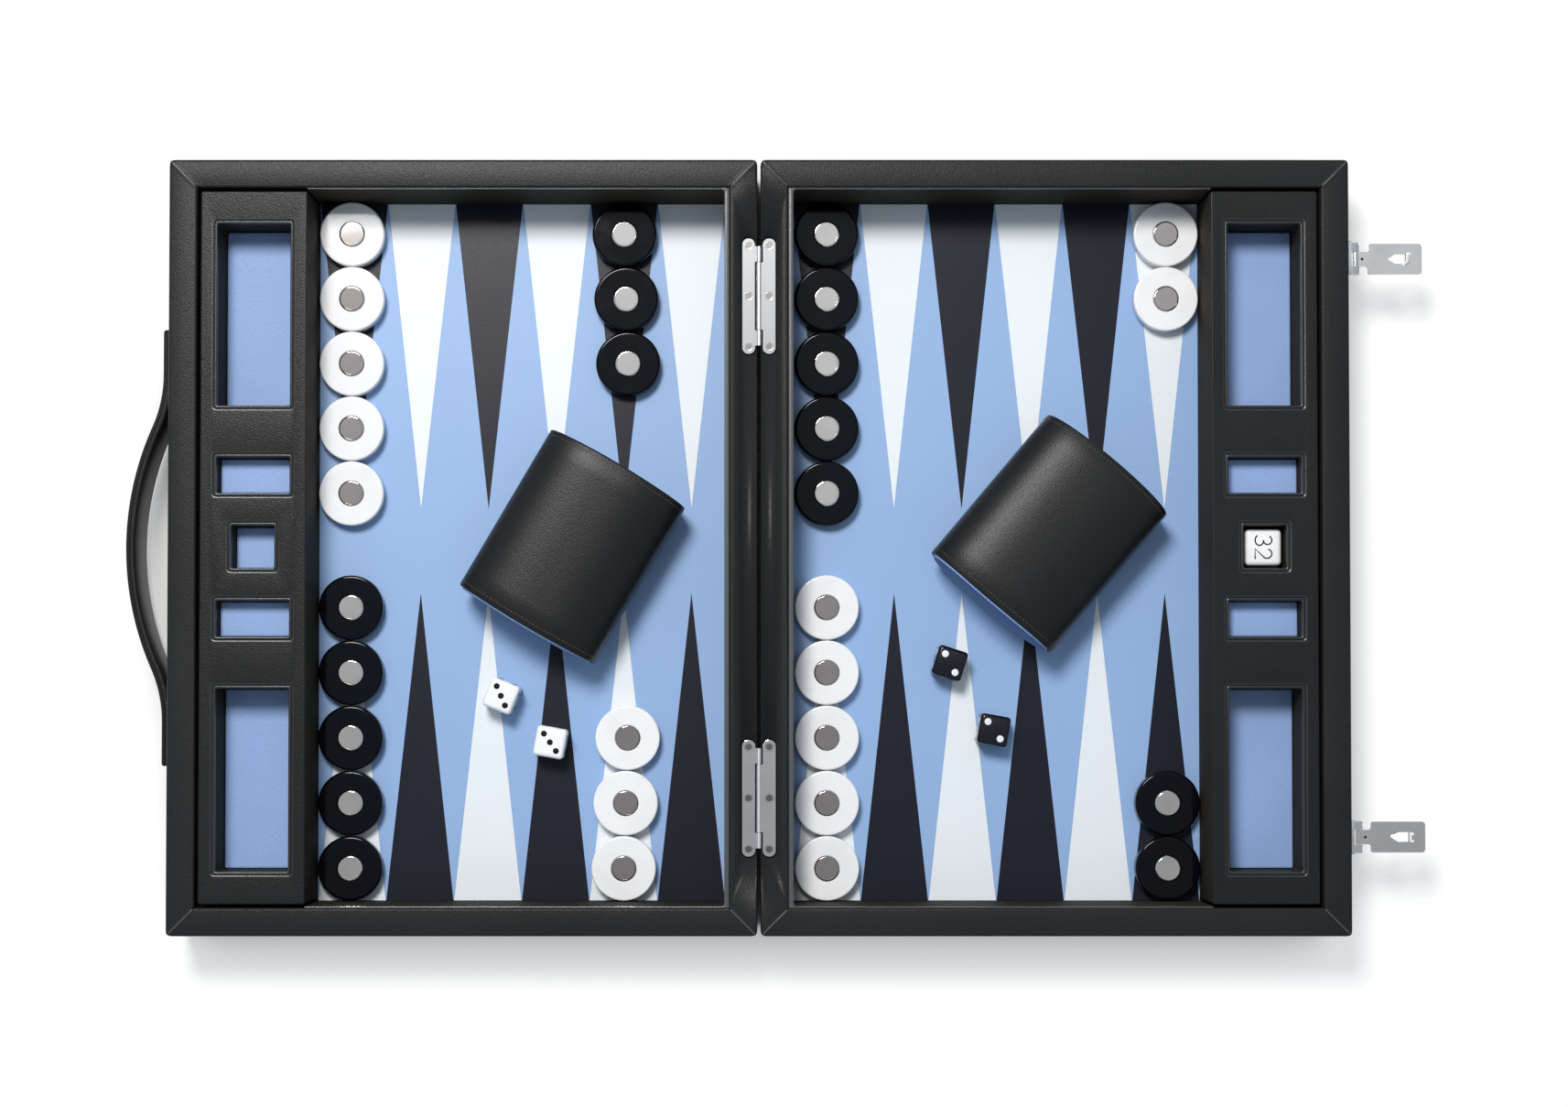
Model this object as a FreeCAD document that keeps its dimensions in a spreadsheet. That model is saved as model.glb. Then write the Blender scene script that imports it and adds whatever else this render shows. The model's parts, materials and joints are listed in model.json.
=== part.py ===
import FreeCAD, Part
import math
import os
import re
import Sketcher

# Backgammon set in a folding leather case, lying open.  Millimetres, +Z up.
#
# Each half of the case is modelled as a right-hand half in its own coordinates: x is the
# distance outwards from the hinge axis, y runs along the hinge and z = 0 is the underside.
# The left half is the same construction turned half round about the hinge centre.
# The origin of the set is the middle of its outline on the table, so the hinge axis stands a
# little to one side of it: the handle and the latches do not reach out equally far.

SIZES = [
    # the two halves of the case
    ("case_length", 400.0),
    ("half_width", 303.5),
    ("half_height", 46.5),
    ("half_gap", 1.6),
    ("rim_width", 14.5),
    ("floor_thickness", 3.9),
    ("case_corner", 3.0),
    ("case_edge", 1.5),
    ("lip_drop", 1.0),
    ("liner_thickness", 0.8),
    ("hinge_liner", 2.4),
    # the playing field and its inlaid points
    ("field_thickness", 1.6),
    ("field_gap", 0.1),
    ("point_length", 162.5),
    ("point_spacing_gap", 0.3),
    ("inlay_thickness", 0.7),
    ("inlay_gap", 0.05),
    # the raised tray with its five wells
    ("tray_width", 55.0),
    ("tray_gap", 1.8),
    ("tray_drop", 0.8),
    ("tray_edge", 0.8),
    ("well_width", 37.5),
    ("large_well_length", 94.0),
    ("small_well_length", 18.5),
    ("square_well", 22.0),
    ("large_well_offset", 119.9),
    ("small_well_offset", 37.0),
    ("well_depth", 25.6),
    ("well_lip", 1.2),
    ("lining_thickness", 1.6),
    ("lining_gap", 0.3),
    ("lining_edge", 0.6),
    # the pair of butt hinges let into the inner rims
    ("hinge_inset", 70.8),
    ("hinge_length", 60.0),
    ("leaf_thickness", 1.5),
    ("leaf_start", 1.85),
    ("leaf_width", 6.9),
    ("leaf_corner", 3.2),
    ("recess_gap", 0.4),
    ("axis_lift", 0.15),
    ("knuckle_radius", 1.2),
    ("knuckle_gap", 0.3),
    ("end_knuckle", 8.0),
    ("knuckle_inset", 4.3),
    ("hinge_pin_radius", 0.6),
    ("pin_gap", 0.05),
    # the latches on the right side and the catches on the left side
    ("latch_inset", 50.6),
    ("latch_drop", 7.0),
    ("latch_plate_length", 19.0),
    ("latch_plate_height", 11.0),
    ("latch_plate_thickness", 1.4),
    ("latch_pin_out", 4.7),
    ("latch_pin_radius", 1.0),
    ("latch_ear_radius", 2.3),
    ("latch_ear_cut", 1.0),
    ("latch_ear_thickness", 4.2),
    ("tongue_width", 7.6),
    ("tongue_gap", 0.2),
    ("hasp_thickness", 1.4),
    ("hasp_neck", 6.4),
    ("hasp_length", 34.4),
    ("hasp_width", 16.0),
    ("hasp_corner", 2.0),
    ("hasp_knuckle_radius", 2.0),
    ("hook_place", 26.5),
    ("hook_height", 6.4),
    ("hook_width", 5.0),
    ("hook_thickness", 1.2),
    ("slot_length", 9.0),
    ("catch_length", 33.0),
    ("catch_height", 13.0),
    ("catch_thickness", 0.9),
    ("catch_corner", 3.0),
    ("catch_slot_clearance", 1.2),
    ("catch_recess_depth", 4.0),
    # the leather handle on the left side
    ("strap_width", 28.0),
    ("strap_thickness", 4.6),
    ("strap_corner", 1.6),
    ("handle_length", 226.0),
    ("handle_span", 180.0),
    ("handle_rise", 19.0),
    ("handle_bend_radius", 70.0),
    # the loose pieces
    ("rest_gap", 0.1),
    ("checker_play", 1.85),
    ("checker_thickness", 8.0),
    ("checker_gap", 0.3),
    ("die_size", 16.0),
    ("die_edge", 1.4),
    ("cube_size", 19.0),
    ("cube_edge", 1.8),
    ("cup_width", 81.0),
    ("cup_height", 40.0),
    ("cup_length", 95.0),
    ("cup_wall", 2.2),
    ("cup_base", 3.5),
    ("cup_flat", 0.5),
    ("cup_lining", 0.8),
    ("cup_lip", 0.8),
    ("lining_seat", 0.03),
    ("column_drift", 1.0),
    # where the cups and the dice lie: outwards from the hinge axis, along it, and turned
    ("left_cup_x", -97.5),
    ("left_cup_y", 1.0),
    ("left_cup_turn", 239.5),
    ("right_cup_x", 151.2),
    ("right_cup_y", 7.8),
    ("right_cup_turn", 229.8),
    ("white_die_one_x", -135.0),
    ("white_die_one_y", -76.6),
    ("white_die_one_turn", -22.0),
    ("white_die_two_x", -109.3),
    ("white_die_two_y", -100.9),
    ("white_die_two_turn", -10.5),
    ("black_die_one_x", 100.1),
    ("black_die_one_y", -59.5),
    ("black_die_one_turn", -17.9),
    ("black_die_two_x", 123.0),
    ("black_die_two_y", -94.6),
    ("black_die_two_turn", -10.1),
]

# Places that follow from the sizes, in the coordinates of a right-hand half
HINGE_X = "((strap_thickness + handle_rise - latch_pin_out - hasp_length) / 2)"
INNER_SIDE = "(half_gap / 2)"
OUTER_SIDE = "(half_gap / 2 + half_width)"
RIM_Y = "(case_length / 2 - rim_width)"
FIELD_TOP = "(floor_thickness + field_thickness)"
TRAY_TOP = "(half_height - tray_drop)"
TRAY_OUTER = f"({OUTER_SIDE} - rim_width - tray_gap)"
TRAY_INNER = f"({TRAY_OUTER} - tray_width)"
TRAY_MIDDLE = f"({TRAY_OUTER} - tray_width / 2)"
WELL_FLOOR = f"({TRAY_TOP} - well_depth)"
FIELD_INNER = f"({INNER_SIDE} + rim_width + hinge_liner + field_gap)"
FIELD_OUTER = f"({TRAY_INNER} - field_gap)"
FIELD_MIDDLE = f"(({FIELD_INNER} + {FIELD_OUTER}) / 2)"
FIELD_Y = f"({RIM_Y} - liner_thickness - field_gap)"
POINT_PITCH = f"(({FIELD_OUTER} - {FIELD_INNER}) / 6)"
HINGE_Y = "(case_length / 2 - hinge_inset)"
AXIS_Z = "(half_height + axis_lift)"
LATCH_X = f"({OUTER_SIDE} + latch_pin_out)"
LATCH_Y = "(case_length / 2 - latch_inset)"
LATCH_Z = "(half_height - latch_drop)"
CATCH_Z = f"(2 * {AXIS_Z} - {LATCH_Z} - hook_place)"

# A checker fits on its point, and five of them in half the length of the field
CHECKER_DIAMETER = f"(min({POINT_PITCH}; {FIELD_Y} / 5) - checker_play)"
CHECKER_SIDES = 28

doc = FreeCAD.newDocument("BackgammonSet")
sheet = doc.addObject("Spreadsheet::Sheet", "Sizes")
nodes = {}


def fill_sheet():
    """Writes every driving size to the sheet under its own alias."""
    for row, (name, value) in enumerate(SIZES, start=1):
        sheet.set(f"A{row}", name)
        sheet.set(f"B{row}", str(value))
        sheet.setAlias(f"B{row}", name)
    doc.recompute()


def value(text):
    """The number that an expression in the sheet's aliases comes to."""
    return float(sheet.evalExpression(text))


def bind(thing, place, text):
    """Ties a property to an expression in the sheet's aliases."""
    names = {name for name, _ in SIZES}
    full = re.sub(r"[a-z][a-z_]*", lambda m: f"Sizes.{m[0]}" if m[0] in names else m[0], text)
    thing.setExpression(place, full)


# ---------------------------------------------------------------- sketch helpers


def new_body(name):
    body = doc.addObject("PartDesign::Body", name)
    body.Label = name
    return body


def origin_feature(body, role):
    return next(f for f in body.Origin.OriginFeatures if f.Role == role)


def new_sketch(body, name, plane="XY_Plane", height="0", across="0", along="0"):
    """A sketch on one of the body's own planes, moved off it by expressions."""
    sketch = body.newObject("Sketcher::SketchObject", name)
    sketch.AttachmentSupport = [(origin_feature(body, plane), "")]
    sketch.MapMode = "FlatFace"
    bind(sketch, "AttachmentOffset.Base.x", across)
    bind(sketch, "AttachmentOffset.Base.y", along)
    bind(sketch, "AttachmentOffset.Base.z", height)
    return sketch


def constrain(sketch, kind, *where, text):
    """A dimension of the sketch tied to an expression."""
    index = sketch.addConstraint(Sketcher.Constraint(kind, *where, value(text)))
    bind(sketch, f"Constraints[{index}]", text)


def place_point(sketch, curve, end, x, y):
    constrain(sketch, "DistanceX", -1, 1, curve, end, text=x)
    constrain(sketch, "DistanceY", -1, 1, curve, end, text=y)


def add_polygon(sketch, points):
    """Straight lines through points whose coordinates are expressions."""
    spots = [FreeCAD.Vector(value(x), value(y), 0) for x, y in points]
    first = sketch.GeometryCount
    count = len(points)
    for i in range(count):
        sketch.addGeometry(Part.LineSegment(spots[i], spots[(i + 1) % count]))
    for i in range(count):
        sketch.addConstraint(
            Sketcher.Constraint("Coincident", first + i, 2, first + (i + 1) % count, 1)
        )
    for i, (x, y) in enumerate(points):
        place_point(sketch, first + i, 1, x, y)


def add_rectangle(sketch, left, bottom, right, top):
    add_polygon(sketch, [(left, bottom), (right, bottom), (right, top), (left, top)])


def add_rounded_rectangle(sketch, left, bottom, right, top, radius):
    """Four lines joined by four equal tangent arcs."""
    x0, y0, x1, y1, r = (value(text) for text in (left, bottom, right, top, radius))
    first = sketch.GeometryCount
    sides = [
        ((x0 + r, y0), (x1 - r, y0)),
        ((x1, y0 + r), (x1, y1 - r)),
        ((x1 - r, y1), (x0 + r, y1)),
        ((x0, y1 - r), (x0, y0 + r)),
    ]
    centres = [(x1 - r, y0 + r), (x1 - r, y1 - r), (x0 + r, y1 - r), (x0 + r, y0 + r)]
    for start, end in sides:
        line = Part.LineSegment(FreeCAD.Vector(*start, 0), FreeCAD.Vector(*end, 0))
        sketch.addGeometry(line)
    for quarter, centre in enumerate(centres):
        circle = Part.Circle(FreeCAD.Vector(*centre, 0), FreeCAD.Vector(0, 0, 1), r)
        start = math.radians(270 + 90 * quarter)
        sketch.addGeometry(Part.ArcOfCircle(circle, start, start + math.pi / 2))
    for i in range(4):
        line, arc, following = first + i, first + 4 + i, first + (i + 1) % 4
        sketch.addConstraint(Sketcher.Constraint("Tangent", line, 2, arc, 1))
        sketch.addConstraint(Sketcher.Constraint("Tangent", arc, 2, following, 1))
        kind = "Horizontal" if i % 2 == 0 else "Vertical"
        sketch.addConstraint(Sketcher.Constraint(kind, line))
    for i in range(1, 4):
        sketch.addConstraint(Sketcher.Constraint("Equal", first + 4, first + 4 + i))
    constrain(sketch, "Radius", first + 4, text=radius)
    constrain(sketch, "DistanceY", -1, 1, first, 1, text=bottom)
    constrain(sketch, "DistanceX", -1, 1, first + 1, 1, text=right)
    constrain(sketch, "DistanceY", -1, 1, first + 2, 1, text=top)
    constrain(sketch, "DistanceX", -1, 1, first + 3, 1, text=left)


def add_circle(sketch, x, y, radius):
    centre = FreeCAD.Vector(value(x), value(y), 0)
    curve = sketch.addGeometry(Part.Circle(centre, FreeCAD.Vector(0, 0, 1), value(radius)))
    constrain(sketch, "Radius", curve, text=radius)
    place_point(sketch, curve, 3, x, y)


def pad(body, sketch, length, backwards=False, both_ways=False):
    feature = body.newObject("PartDesign::Pad", sketch.Name + "_pad")
    feature.Profile = sketch
    feature.Reversed = backwards
    feature.Midplane = both_ways
    bind(feature, "Length", length)
    doc.recompute()
    return feature


def pocket(body, sketch, depth, backwards=False, both_ways=False):
    """Cuts the sketch into the body, and makes sure that it took something away."""
    before = body.Shape.Volume
    feature = body.newObject("PartDesign::Pocket", sketch.Name + "_pocket")
    feature.Profile = sketch
    feature.Reversed = backwards
    feature.Midplane = both_ways
    bind(feature, "Length", depth)
    doc.recompute()
    if body.Shape.Volume >= before:
        raise RuntimeError(f"{feature.Name} cuts nothing")
    return feature


def edges_where(shape, test):
    """Names of the edges whose every sampled point passes the test."""
    names = []
    for i, edge in enumerate(shape.Edges, start=1):
        ends = [edge.valueAt(edge.FirstParameter + share * (edge.LastParameter - edge.FirstParameter))
                for share in (0.0, 0.5, 1.0)]
        if all(test(point) for point in ends):
            names.append(f"Edge{i}")
    return names


def soften(body, base, test, radius, kind="Fillet"):
    """Rounds or bevels the edges of base that pass the test."""
    feature = body.newObject(f"PartDesign::{kind}", f"{body.Name}_{kind.lower()}")
    feature.Base = (base, edges_where(base.Shape, test))
    bind(feature, "Radius" if kind == "Fillet" else "Size", radius)
    doc.recompute()
    return feature


def near(a, b):
    return abs(a - b) < 1e-4


# ---------------------------------------------------------------- placing and grouping


def set_place(thing, x="0", y="0", z="0", turn="0"):
    """Places a finished object: x is measured outwards from the hinge axis."""
    thing.Placement = FreeCAD.Placement(
        FreeCAD.Vector(0, 0, 0), FreeCAD.Rotation(FreeCAD.Vector(0, 0, 1), value(turn))
    )
    bind(thing, "Placement.Base.x", f"{HINGE_X} + {x}")
    bind(thing, "Placement.Base.y", y)
    bind(thing, "Placement.Base.z", z)
    bind(thing, "Placement.Rotation.Angle", turn)


def compound(name, parts):
    thing = doc.addObject("Part::Compound", name)
    thing.Label = name
    thing.Links = parts
    return thing


def instance(name, parts, x="0", y="0", z="0"):
    """A copy of model pieces moved within a half, before the half is placed."""
    thing = compound(name, parts)
    bind(thing, "Placement.Base.x", x)
    bind(thing, "Placement.Base.y", y)
    bind(thing, "Placement.Base.z", z)
    return thing


def right_node(name, parts):
    """A piece of the right half, moved out to the hinge axis."""
    thing = compound(name, parts)
    set_place(thing)
    nodes[name] = thing


def left_node(name, parts):
    """A piece of the left half: turned half round about the hinge centre."""
    thing = compound(name, parts)
    set_place(thing, turn="180")
    nodes[name] = thing


def loose_node(name, parts, x, y, z, turn="0"):
    thing = compound(name, parts)
    set_place(thing, x, y, z, turn)
    nodes[name] = thing


# ---------------------------------------------------------------- the case


def leaf_outline(sketch, side_gap, end_gap):
    """Outline of one hinge leaf, opened up all round by gaps for its recess.

    It runs on past the inner side of the case, where the knuckles lie.
    """
    add_rounded_rectangle(
        sketch,
        f"leaf_start - leaf_corner - {side_gap}",
        f"-hinge_length / 2 - {end_gap}",
        f"leaf_start + leaf_width + {side_gap}",
        f"hinge_length / 2 + {end_gap}",
        "leaf_corner",
    )


def build_case():
    """One half of the case: floor, four walls and rim, with seats for the hinges."""
    body = new_body("case_half")
    outline = new_sketch(body, "case_outline")
    add_rounded_rectangle(
        outline, INNER_SIDE, "-case_length / 2", OUTER_SIDE, "case_length / 2", "case_corner"
    )
    block = pad(body, outline, "half_height")
    top = value("half_height")
    soften(body, block, lambda p: near(p.z, 0) or near(p.z, top), "case_edge", "Chamfer")

    opening = new_sketch(body, "rim_opening", height="half_height")
    add_rectangle(
        opening, f"{INNER_SIDE} + rim_width", f"-{RIM_Y}", f"{OUTER_SIDE} - rim_width", RIM_Y
    )
    pocket(body, opening, "lip_drop")

    field_bay = new_sketch(body, "field_bay", height="half_height")
    add_rectangle(
        field_bay,
        f"{INNER_SIDE} + rim_width + hinge_liner",
        f"-{RIM_Y} + liner_thickness",
        TRAY_MIDDLE,
        f"{RIM_Y} - liner_thickness",
    )
    pocket(body, field_bay, "half_height - floor_thickness")

    tray_bay = new_sketch(body, "tray_bay", height="half_height")
    add_rectangle(tray_bay, TRAY_INNER, f"-{RIM_Y}", f"{OUTER_SIDE} - rim_width", RIM_Y)
    pocket(body, tray_bay, "half_height - floor_thickness")

    for end in (1, -1):
        middle = f"({end} * {HINGE_Y})"
        recess = new_sketch(body, "leaf_recess", height="half_height", along=middle)
        leaf_outline(recess, "recess_gap", "recess_gap")
        pocket(body, recess, "leaf_thickness")
    return body


def build_catch_recess():
    """The pocket behind a catch plate that the latch's hook reaches into."""
    box = doc.addObject("Part::Box", "catch_recess")
    bind(box, "Length", "catch_recess_depth * 2")
    bind(box, "Width", "hook_width + 2 * catch_slot_clearance")
    bind(box, "Height", "hook_thickness + 2 * catch_slot_clearance")
    bind(box, "Placement.Base.x", f"{OUTER_SIDE} - catch_recess_depth")
    bind(box, "Placement.Base.y", f"{LATCH_Y} - hook_width / 2 - catch_slot_clearance")
    bind(box, "Placement.Base.z", f"{CATCH_Z} - hook_thickness / 2 - catch_slot_clearance")
    other = doc.addObject("Part::Mirroring", "catch_recess_mirror")
    other.Source = box
    other.Normal = FreeCAD.Vector(0, 1, 0)
    return compound("catch_recesses", [box, other])


def build_case_halves():
    half = build_case()
    right_node("right_case", [half])
    left = doc.addObject("Part::Cut", "case_half_with_recesses")
    left.Base = half
    left.Tool = build_catch_recess()
    left_node("left_case", [left])


# ---------------------------------------------------------------- field and points


def add_point(sketch, place, gap):
    """One tall triangle standing on the edge of the field, shrunk all round by gap."""
    add_polygon(
        sketch,
        [
            (f"{place} + (point_spacing_gap / 2 + {gap})", f"-{FIELD_Y} + {gap}"),
            (f"{place} + {POINT_PITCH} - (point_spacing_gap / 2 + {gap})", f"-{FIELD_Y} + {gap}"),
            (f"{place} + {POINT_PITCH} / 2", f"-{FIELD_Y} + point_length - 9 * {gap}"),
        ],
    )


def multi_transform(body, original, steps):
    """Repeats a feature by several patterns, one after the other."""
    feature = body.newObject("PartDesign::MultiTransform", f"{body.Name}_repeats")
    feature.Originals = [original]
    made = []
    for kind, settings, bound in steps:
        step = body.newObject(f"PartDesign::{kind}", f"{body.Name}_{kind.lower()}")
        for key, setting in settings.items():
            setattr(step, key, setting)
        for key, text in bound.items():
            bind(step, key, text)
        made.append(step)
    feature.Transformations = made
    body.Tip = feature
    doc.recompute()
    return feature


def build_field():
    """The leather board of one half, with a shallow seat for each of its twelve points."""
    body = new_body("field")
    outline = new_sketch(body, "field_outline", height="floor_thickness")
    add_rectangle(outline, FIELD_INNER, f"-{FIELD_Y}", FIELD_OUTER, FIELD_Y)
    pad(body, outline, "field_thickness")
    seat = new_sketch(body, "point_seat", height=FIELD_TOP)
    add_point(seat, FIELD_INNER, "0")
    cut = pocket(body, seat, "inlay_thickness")
    row = {
        "Direction": (origin_feature(body, "X_Axis"), [""]),
        "Occurrences": 6,
    }
    across = {"MirrorPlane": (origin_feature(body, "XZ_Plane"), [""])}
    steps = [
        ("LinearPattern", row, {"Length": f"5 * {POINT_PITCH}"}),
        ("Mirrored", across, {}),
    ]
    multi_transform(body, cut, steps)
    return body


def build_points(name, first):
    """Six points of one colour: three along the near edge and three opposite, turned round.

    first is the point, counted from the hinge, that the near row starts on.
    """
    body = new_body(name)
    sketch = new_sketch(
        body, f"{name}_outline", height=f"{FIELD_TOP} - inlay_thickness", across=FIELD_MIDDLE
    )
    start = f"({first} * {POINT_PITCH} - 3 * {POINT_PITCH})"
    add_point(sketch, start, "inlay_gap")
    wedge = pad(body, sketch, "inlay_thickness")
    row = {
        "Direction": (origin_feature(body, "X_Axis"), [""]),
        "Occurrences": 3,
    }
    round_centre = {"Axis": (sketch, ["N_Axis"]), "Occurrences": 2}
    steps = [
        ("LinearPattern", row, {"Length": f"4 * {POINT_PITCH}"}),
        ("PolarPattern", round_centre, {"Angle": "360"}),
    ]
    multi_transform(body, wedge, steps)
    return body


def build_fields():
    field = build_field()
    dark = build_points("dark_points", 1)
    light = build_points("light_points", 0)
    right_node("right_field", [field])
    left_node("left_field", [field])
    right_node("right_dark_points", [dark])
    left_node("left_dark_points", [dark])
    right_node("right_light_points", [light])
    left_node("left_light_points", [light])


# ---------------------------------------------------------------- trays

WELLS = [
    ("-large_well_offset", "well_width", "large_well_length"),
    ("-small_well_offset", "well_width", "small_well_length"),
    ("0", "square_well", "square_well"),
    ("small_well_offset", "well_width", "small_well_length"),
    ("large_well_offset", "well_width", "large_well_length"),
]


def build_tray():
    """The raised block at the outer end of a half, with five open wells."""
    body = new_body("tray")
    outline = new_sketch(body, "tray_outline", height="floor_thickness")
    add_rectangle(outline, TRAY_INNER, f"-{RIM_Y} + tray_gap", TRAY_OUTER, f"{RIM_Y} - tray_gap")
    block = pad(body, outline, f"{TRAY_TOP} - floor_thickness")
    top = value(TRAY_TOP)
    soften(body, block, lambda p: near(p.z, top), "tray_edge", "Chamfer")
    openings = new_sketch(body, "well_openings", height=TRAY_TOP)
    for place, width, length in WELLS:
        add_rectangle(
            openings,
            f"{TRAY_MIDDLE} - {width} / 2",
            f"{place} - {length} / 2",
            f"{TRAY_MIDDLE} + {width} / 2",
            f"{place} + {length} / 2",
        )
    wells = pocket(body, openings, "well_depth")
    inside = value("well_width") / 2 + 0.01
    middle = value(TRAY_MIDDLE)

    def on_a_lip(point):
        return near(point.z, top) and abs(point.x - middle) <= inside

    soften(body, wells, on_a_lip, "well_lip", "Chamfer")
    return body


def build_lining(name, width, length):
    """A padded leather floor that lies in the bottom of a well."""
    body = new_body(name)
    outline = new_sketch(body, f"{name}_outline", height=WELL_FLOOR)
    add_rectangle(
        outline,
        f"-{width} / 2 + lining_gap",
        f"-{length} / 2 + lining_gap",
        f"{width} / 2 - lining_gap",
        f"{length} / 2 - lining_gap",
    )
    slab = pad(body, outline, "lining_thickness")
    top = value(f"{WELL_FLOOR} + lining_thickness")
    soften(body, slab, lambda p: near(p.z, top), "lining_edge", "Chamfer")
    return body


def build_trays():
    tray = build_tray()
    shapes = {}
    linings = []
    for number, (place, width, length) in enumerate(WELLS, start=1):
        if (width, length) not in shapes:
            shapes[width, length] = build_lining(f"lining_shape_{number}", width, length)
        linings.append(instance(f"lining_{number}", [shapes[width, length]], TRAY_MIDDLE, place))
    right_node("right_tray", [tray])
    left_node("left_tray", [tray])
    right_node("right_tray_linings", linings)
    left_node("left_tray_linings", linings)


# ---------------------------------------------------------------- hinges


def build_leaf(name, knuckles):
    """A hinge leaf let in flush with the rim, with its knuckles round the axis.

    knuckles lists (start, end) along the axis from the hinge's middle.
    """
    body = new_body(name)
    plate = new_sketch(body, f"{name}_plate", height="half_height")
    leaf_outline(plate, "0", "0")
    pad(body, plate, "leaf_thickness", backwards=True)
    trim = new_sketch(body, f"{name}_straight_edge", height="half_height")
    add_rectangle(
        trim,
        "leaf_start - 2 * leaf_corner",
        "-hinge_length",
        "leaf_start",
        "hinge_length",
    )
    pocket(body, trim, "leaf_thickness")
    for number, (start, end) in enumerate(knuckles):
        middle = f"-({start} + {end}) / 2"
        length = f"{end} - ({start})"
        web = new_sketch(body, f"{name}_web_{number}", plane="XZ_Plane", height=middle)
        add_rectangle(
            web,
            "0",
            "half_height - leaf_thickness + 0.1",
            "leaf_start + 0.5",
            "half_height - 0.1",
        )
        pad(body, web, length, both_ways=True)
        barrel = new_sketch(body, f"{name}_barrel_{number}", plane="XZ_Plane", height=middle)
        add_circle(barrel, "0", AXIS_Z, "knuckle_radius")
        pad(body, barrel, length, both_ways=True)
    bore = new_sketch(body, f"{name}_bore", plane="XZ_Plane")
    add_circle(bore, "0", AXIS_Z, "hinge_pin_radius + pin_gap")
    pocket(body, bore, "hinge_length + 10", both_ways=True)

    return body


def build_hinge_pin():
    pin = doc.addObject("Part::Cylinder", "hinge_pin")
    bind(pin, "Radius", "hinge_pin_radius")
    bind(pin, "Height", "hinge_length - 2 * knuckle_inset")
    pin.Placement.Rotation = FreeCAD.Rotation(FreeCAD.Vector(1, 0, 0), 90)
    bind(pin, "Placement.Base.y", "hinge_length / 2 - knuckle_inset")
    bind(pin, "Placement.Base.z", AXIS_Z)
    return pin


def build_hinges():
    half = "hinge_length / 2"
    outer = f"({half} - knuckle_inset)"
    inner = f"({outer} - end_knuckle)"
    middle = f"({inner} - knuckle_gap)"
    long_leaf = build_leaf("middle_knuckle_leaf", [(f"-{middle}", middle)])
    short_leaf = build_leaf("end_knuckle_leaf", [(f"-{outer}", f"-{inner}"), (inner, outer)])
    pin = build_hinge_pin()
    leaves, ends, pins = [], [], []
    for name, sign in (("upper", 1), ("lower", -1)):
        place = f"({sign} * {HINGE_Y})"
        leaves.append(instance(f"{name}_right_leaf", [long_leaf], y=place))
        ends.append(instance(f"{name}_left_leaf", [short_leaf], y=place))
        pins.append(instance(f"{name}_hinge_pin", [pin], y=place))
    right_node("right_hinge_leaves", leaves)
    left_node("left_hinge_leaves", ends)
    right_node("hinge_pins", pins)


# ---------------------------------------------------------------- latches and catches


def build_latch_base():
    """A plate on the side of the case with two lugs that hold the hasp's pin."""
    body = new_body("latch_base")
    plate = new_sketch(body, "latch_plate", plane="YZ_Plane", height=OUTER_SIDE)
    add_rounded_rectangle(
        plate,
        "-latch_plate_length / 2",
        f"{LATCH_Z} - latch_plate_height / 2",
        "latch_plate_length / 2",
        f"{LATCH_Z} + latch_plate_height / 2",
        "case_edge",
    )
    pad(body, plate, "latch_plate_thickness")
    for number, sign in enumerate((1, -1)):
        middle = f"-{sign} * (tongue_width + latch_ear_thickness + 2 * tongue_gap) / 2"
        lug = new_sketch(body, f"lug_{number}", plane="XZ_Plane", height=middle)
        low = f"{LATCH_Z} - latch_ear_radius"
        high = f"{LATCH_Z} + latch_ear_radius"
        tip = f"{LATCH_X} + latch_ear_radius"
        shoulder = f"{tip} - latch_ear_cut"
        add_polygon(
            lug,
            [
                (OUTER_SIDE, low),
                (shoulder, low),
                (tip, f"{low} + latch_ear_cut"),
                (tip, f"{high} - latch_ear_cut"),
                (shoulder, high),
                (OUTER_SIDE, high),
            ],
        )
        pad(body, lug, "latch_ear_thickness", both_ways=True)
    bore = new_sketch(body, "latch_bore", plane="XZ_Plane")
    add_circle(bore, LATCH_X, LATCH_Z, "latch_pin_radius + pin_gap")
    pocket(body, bore, "latch_plate_length", both_ways=True)
    return body


def build_latch_pin():
    pin = doc.addObject("Part::Cylinder", "latch_pin")
    bind(pin, "Radius", "latch_pin_radius")
    bind(pin, "Height", "tongue_width + 2 * (latch_ear_thickness + tongue_gap)")
    pin.Placement.Rotation = FreeCAD.Rotation(FreeCAD.Vector(1, 0, 0), 90)
    bind(pin, "Placement.Base.x", LATCH_X)
    bind(pin, "Placement.Base.y", "tongue_width / 2 + latch_ear_thickness + tongue_gap")
    bind(pin, "Placement.Base.z", LATCH_Z)
    return pin


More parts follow.
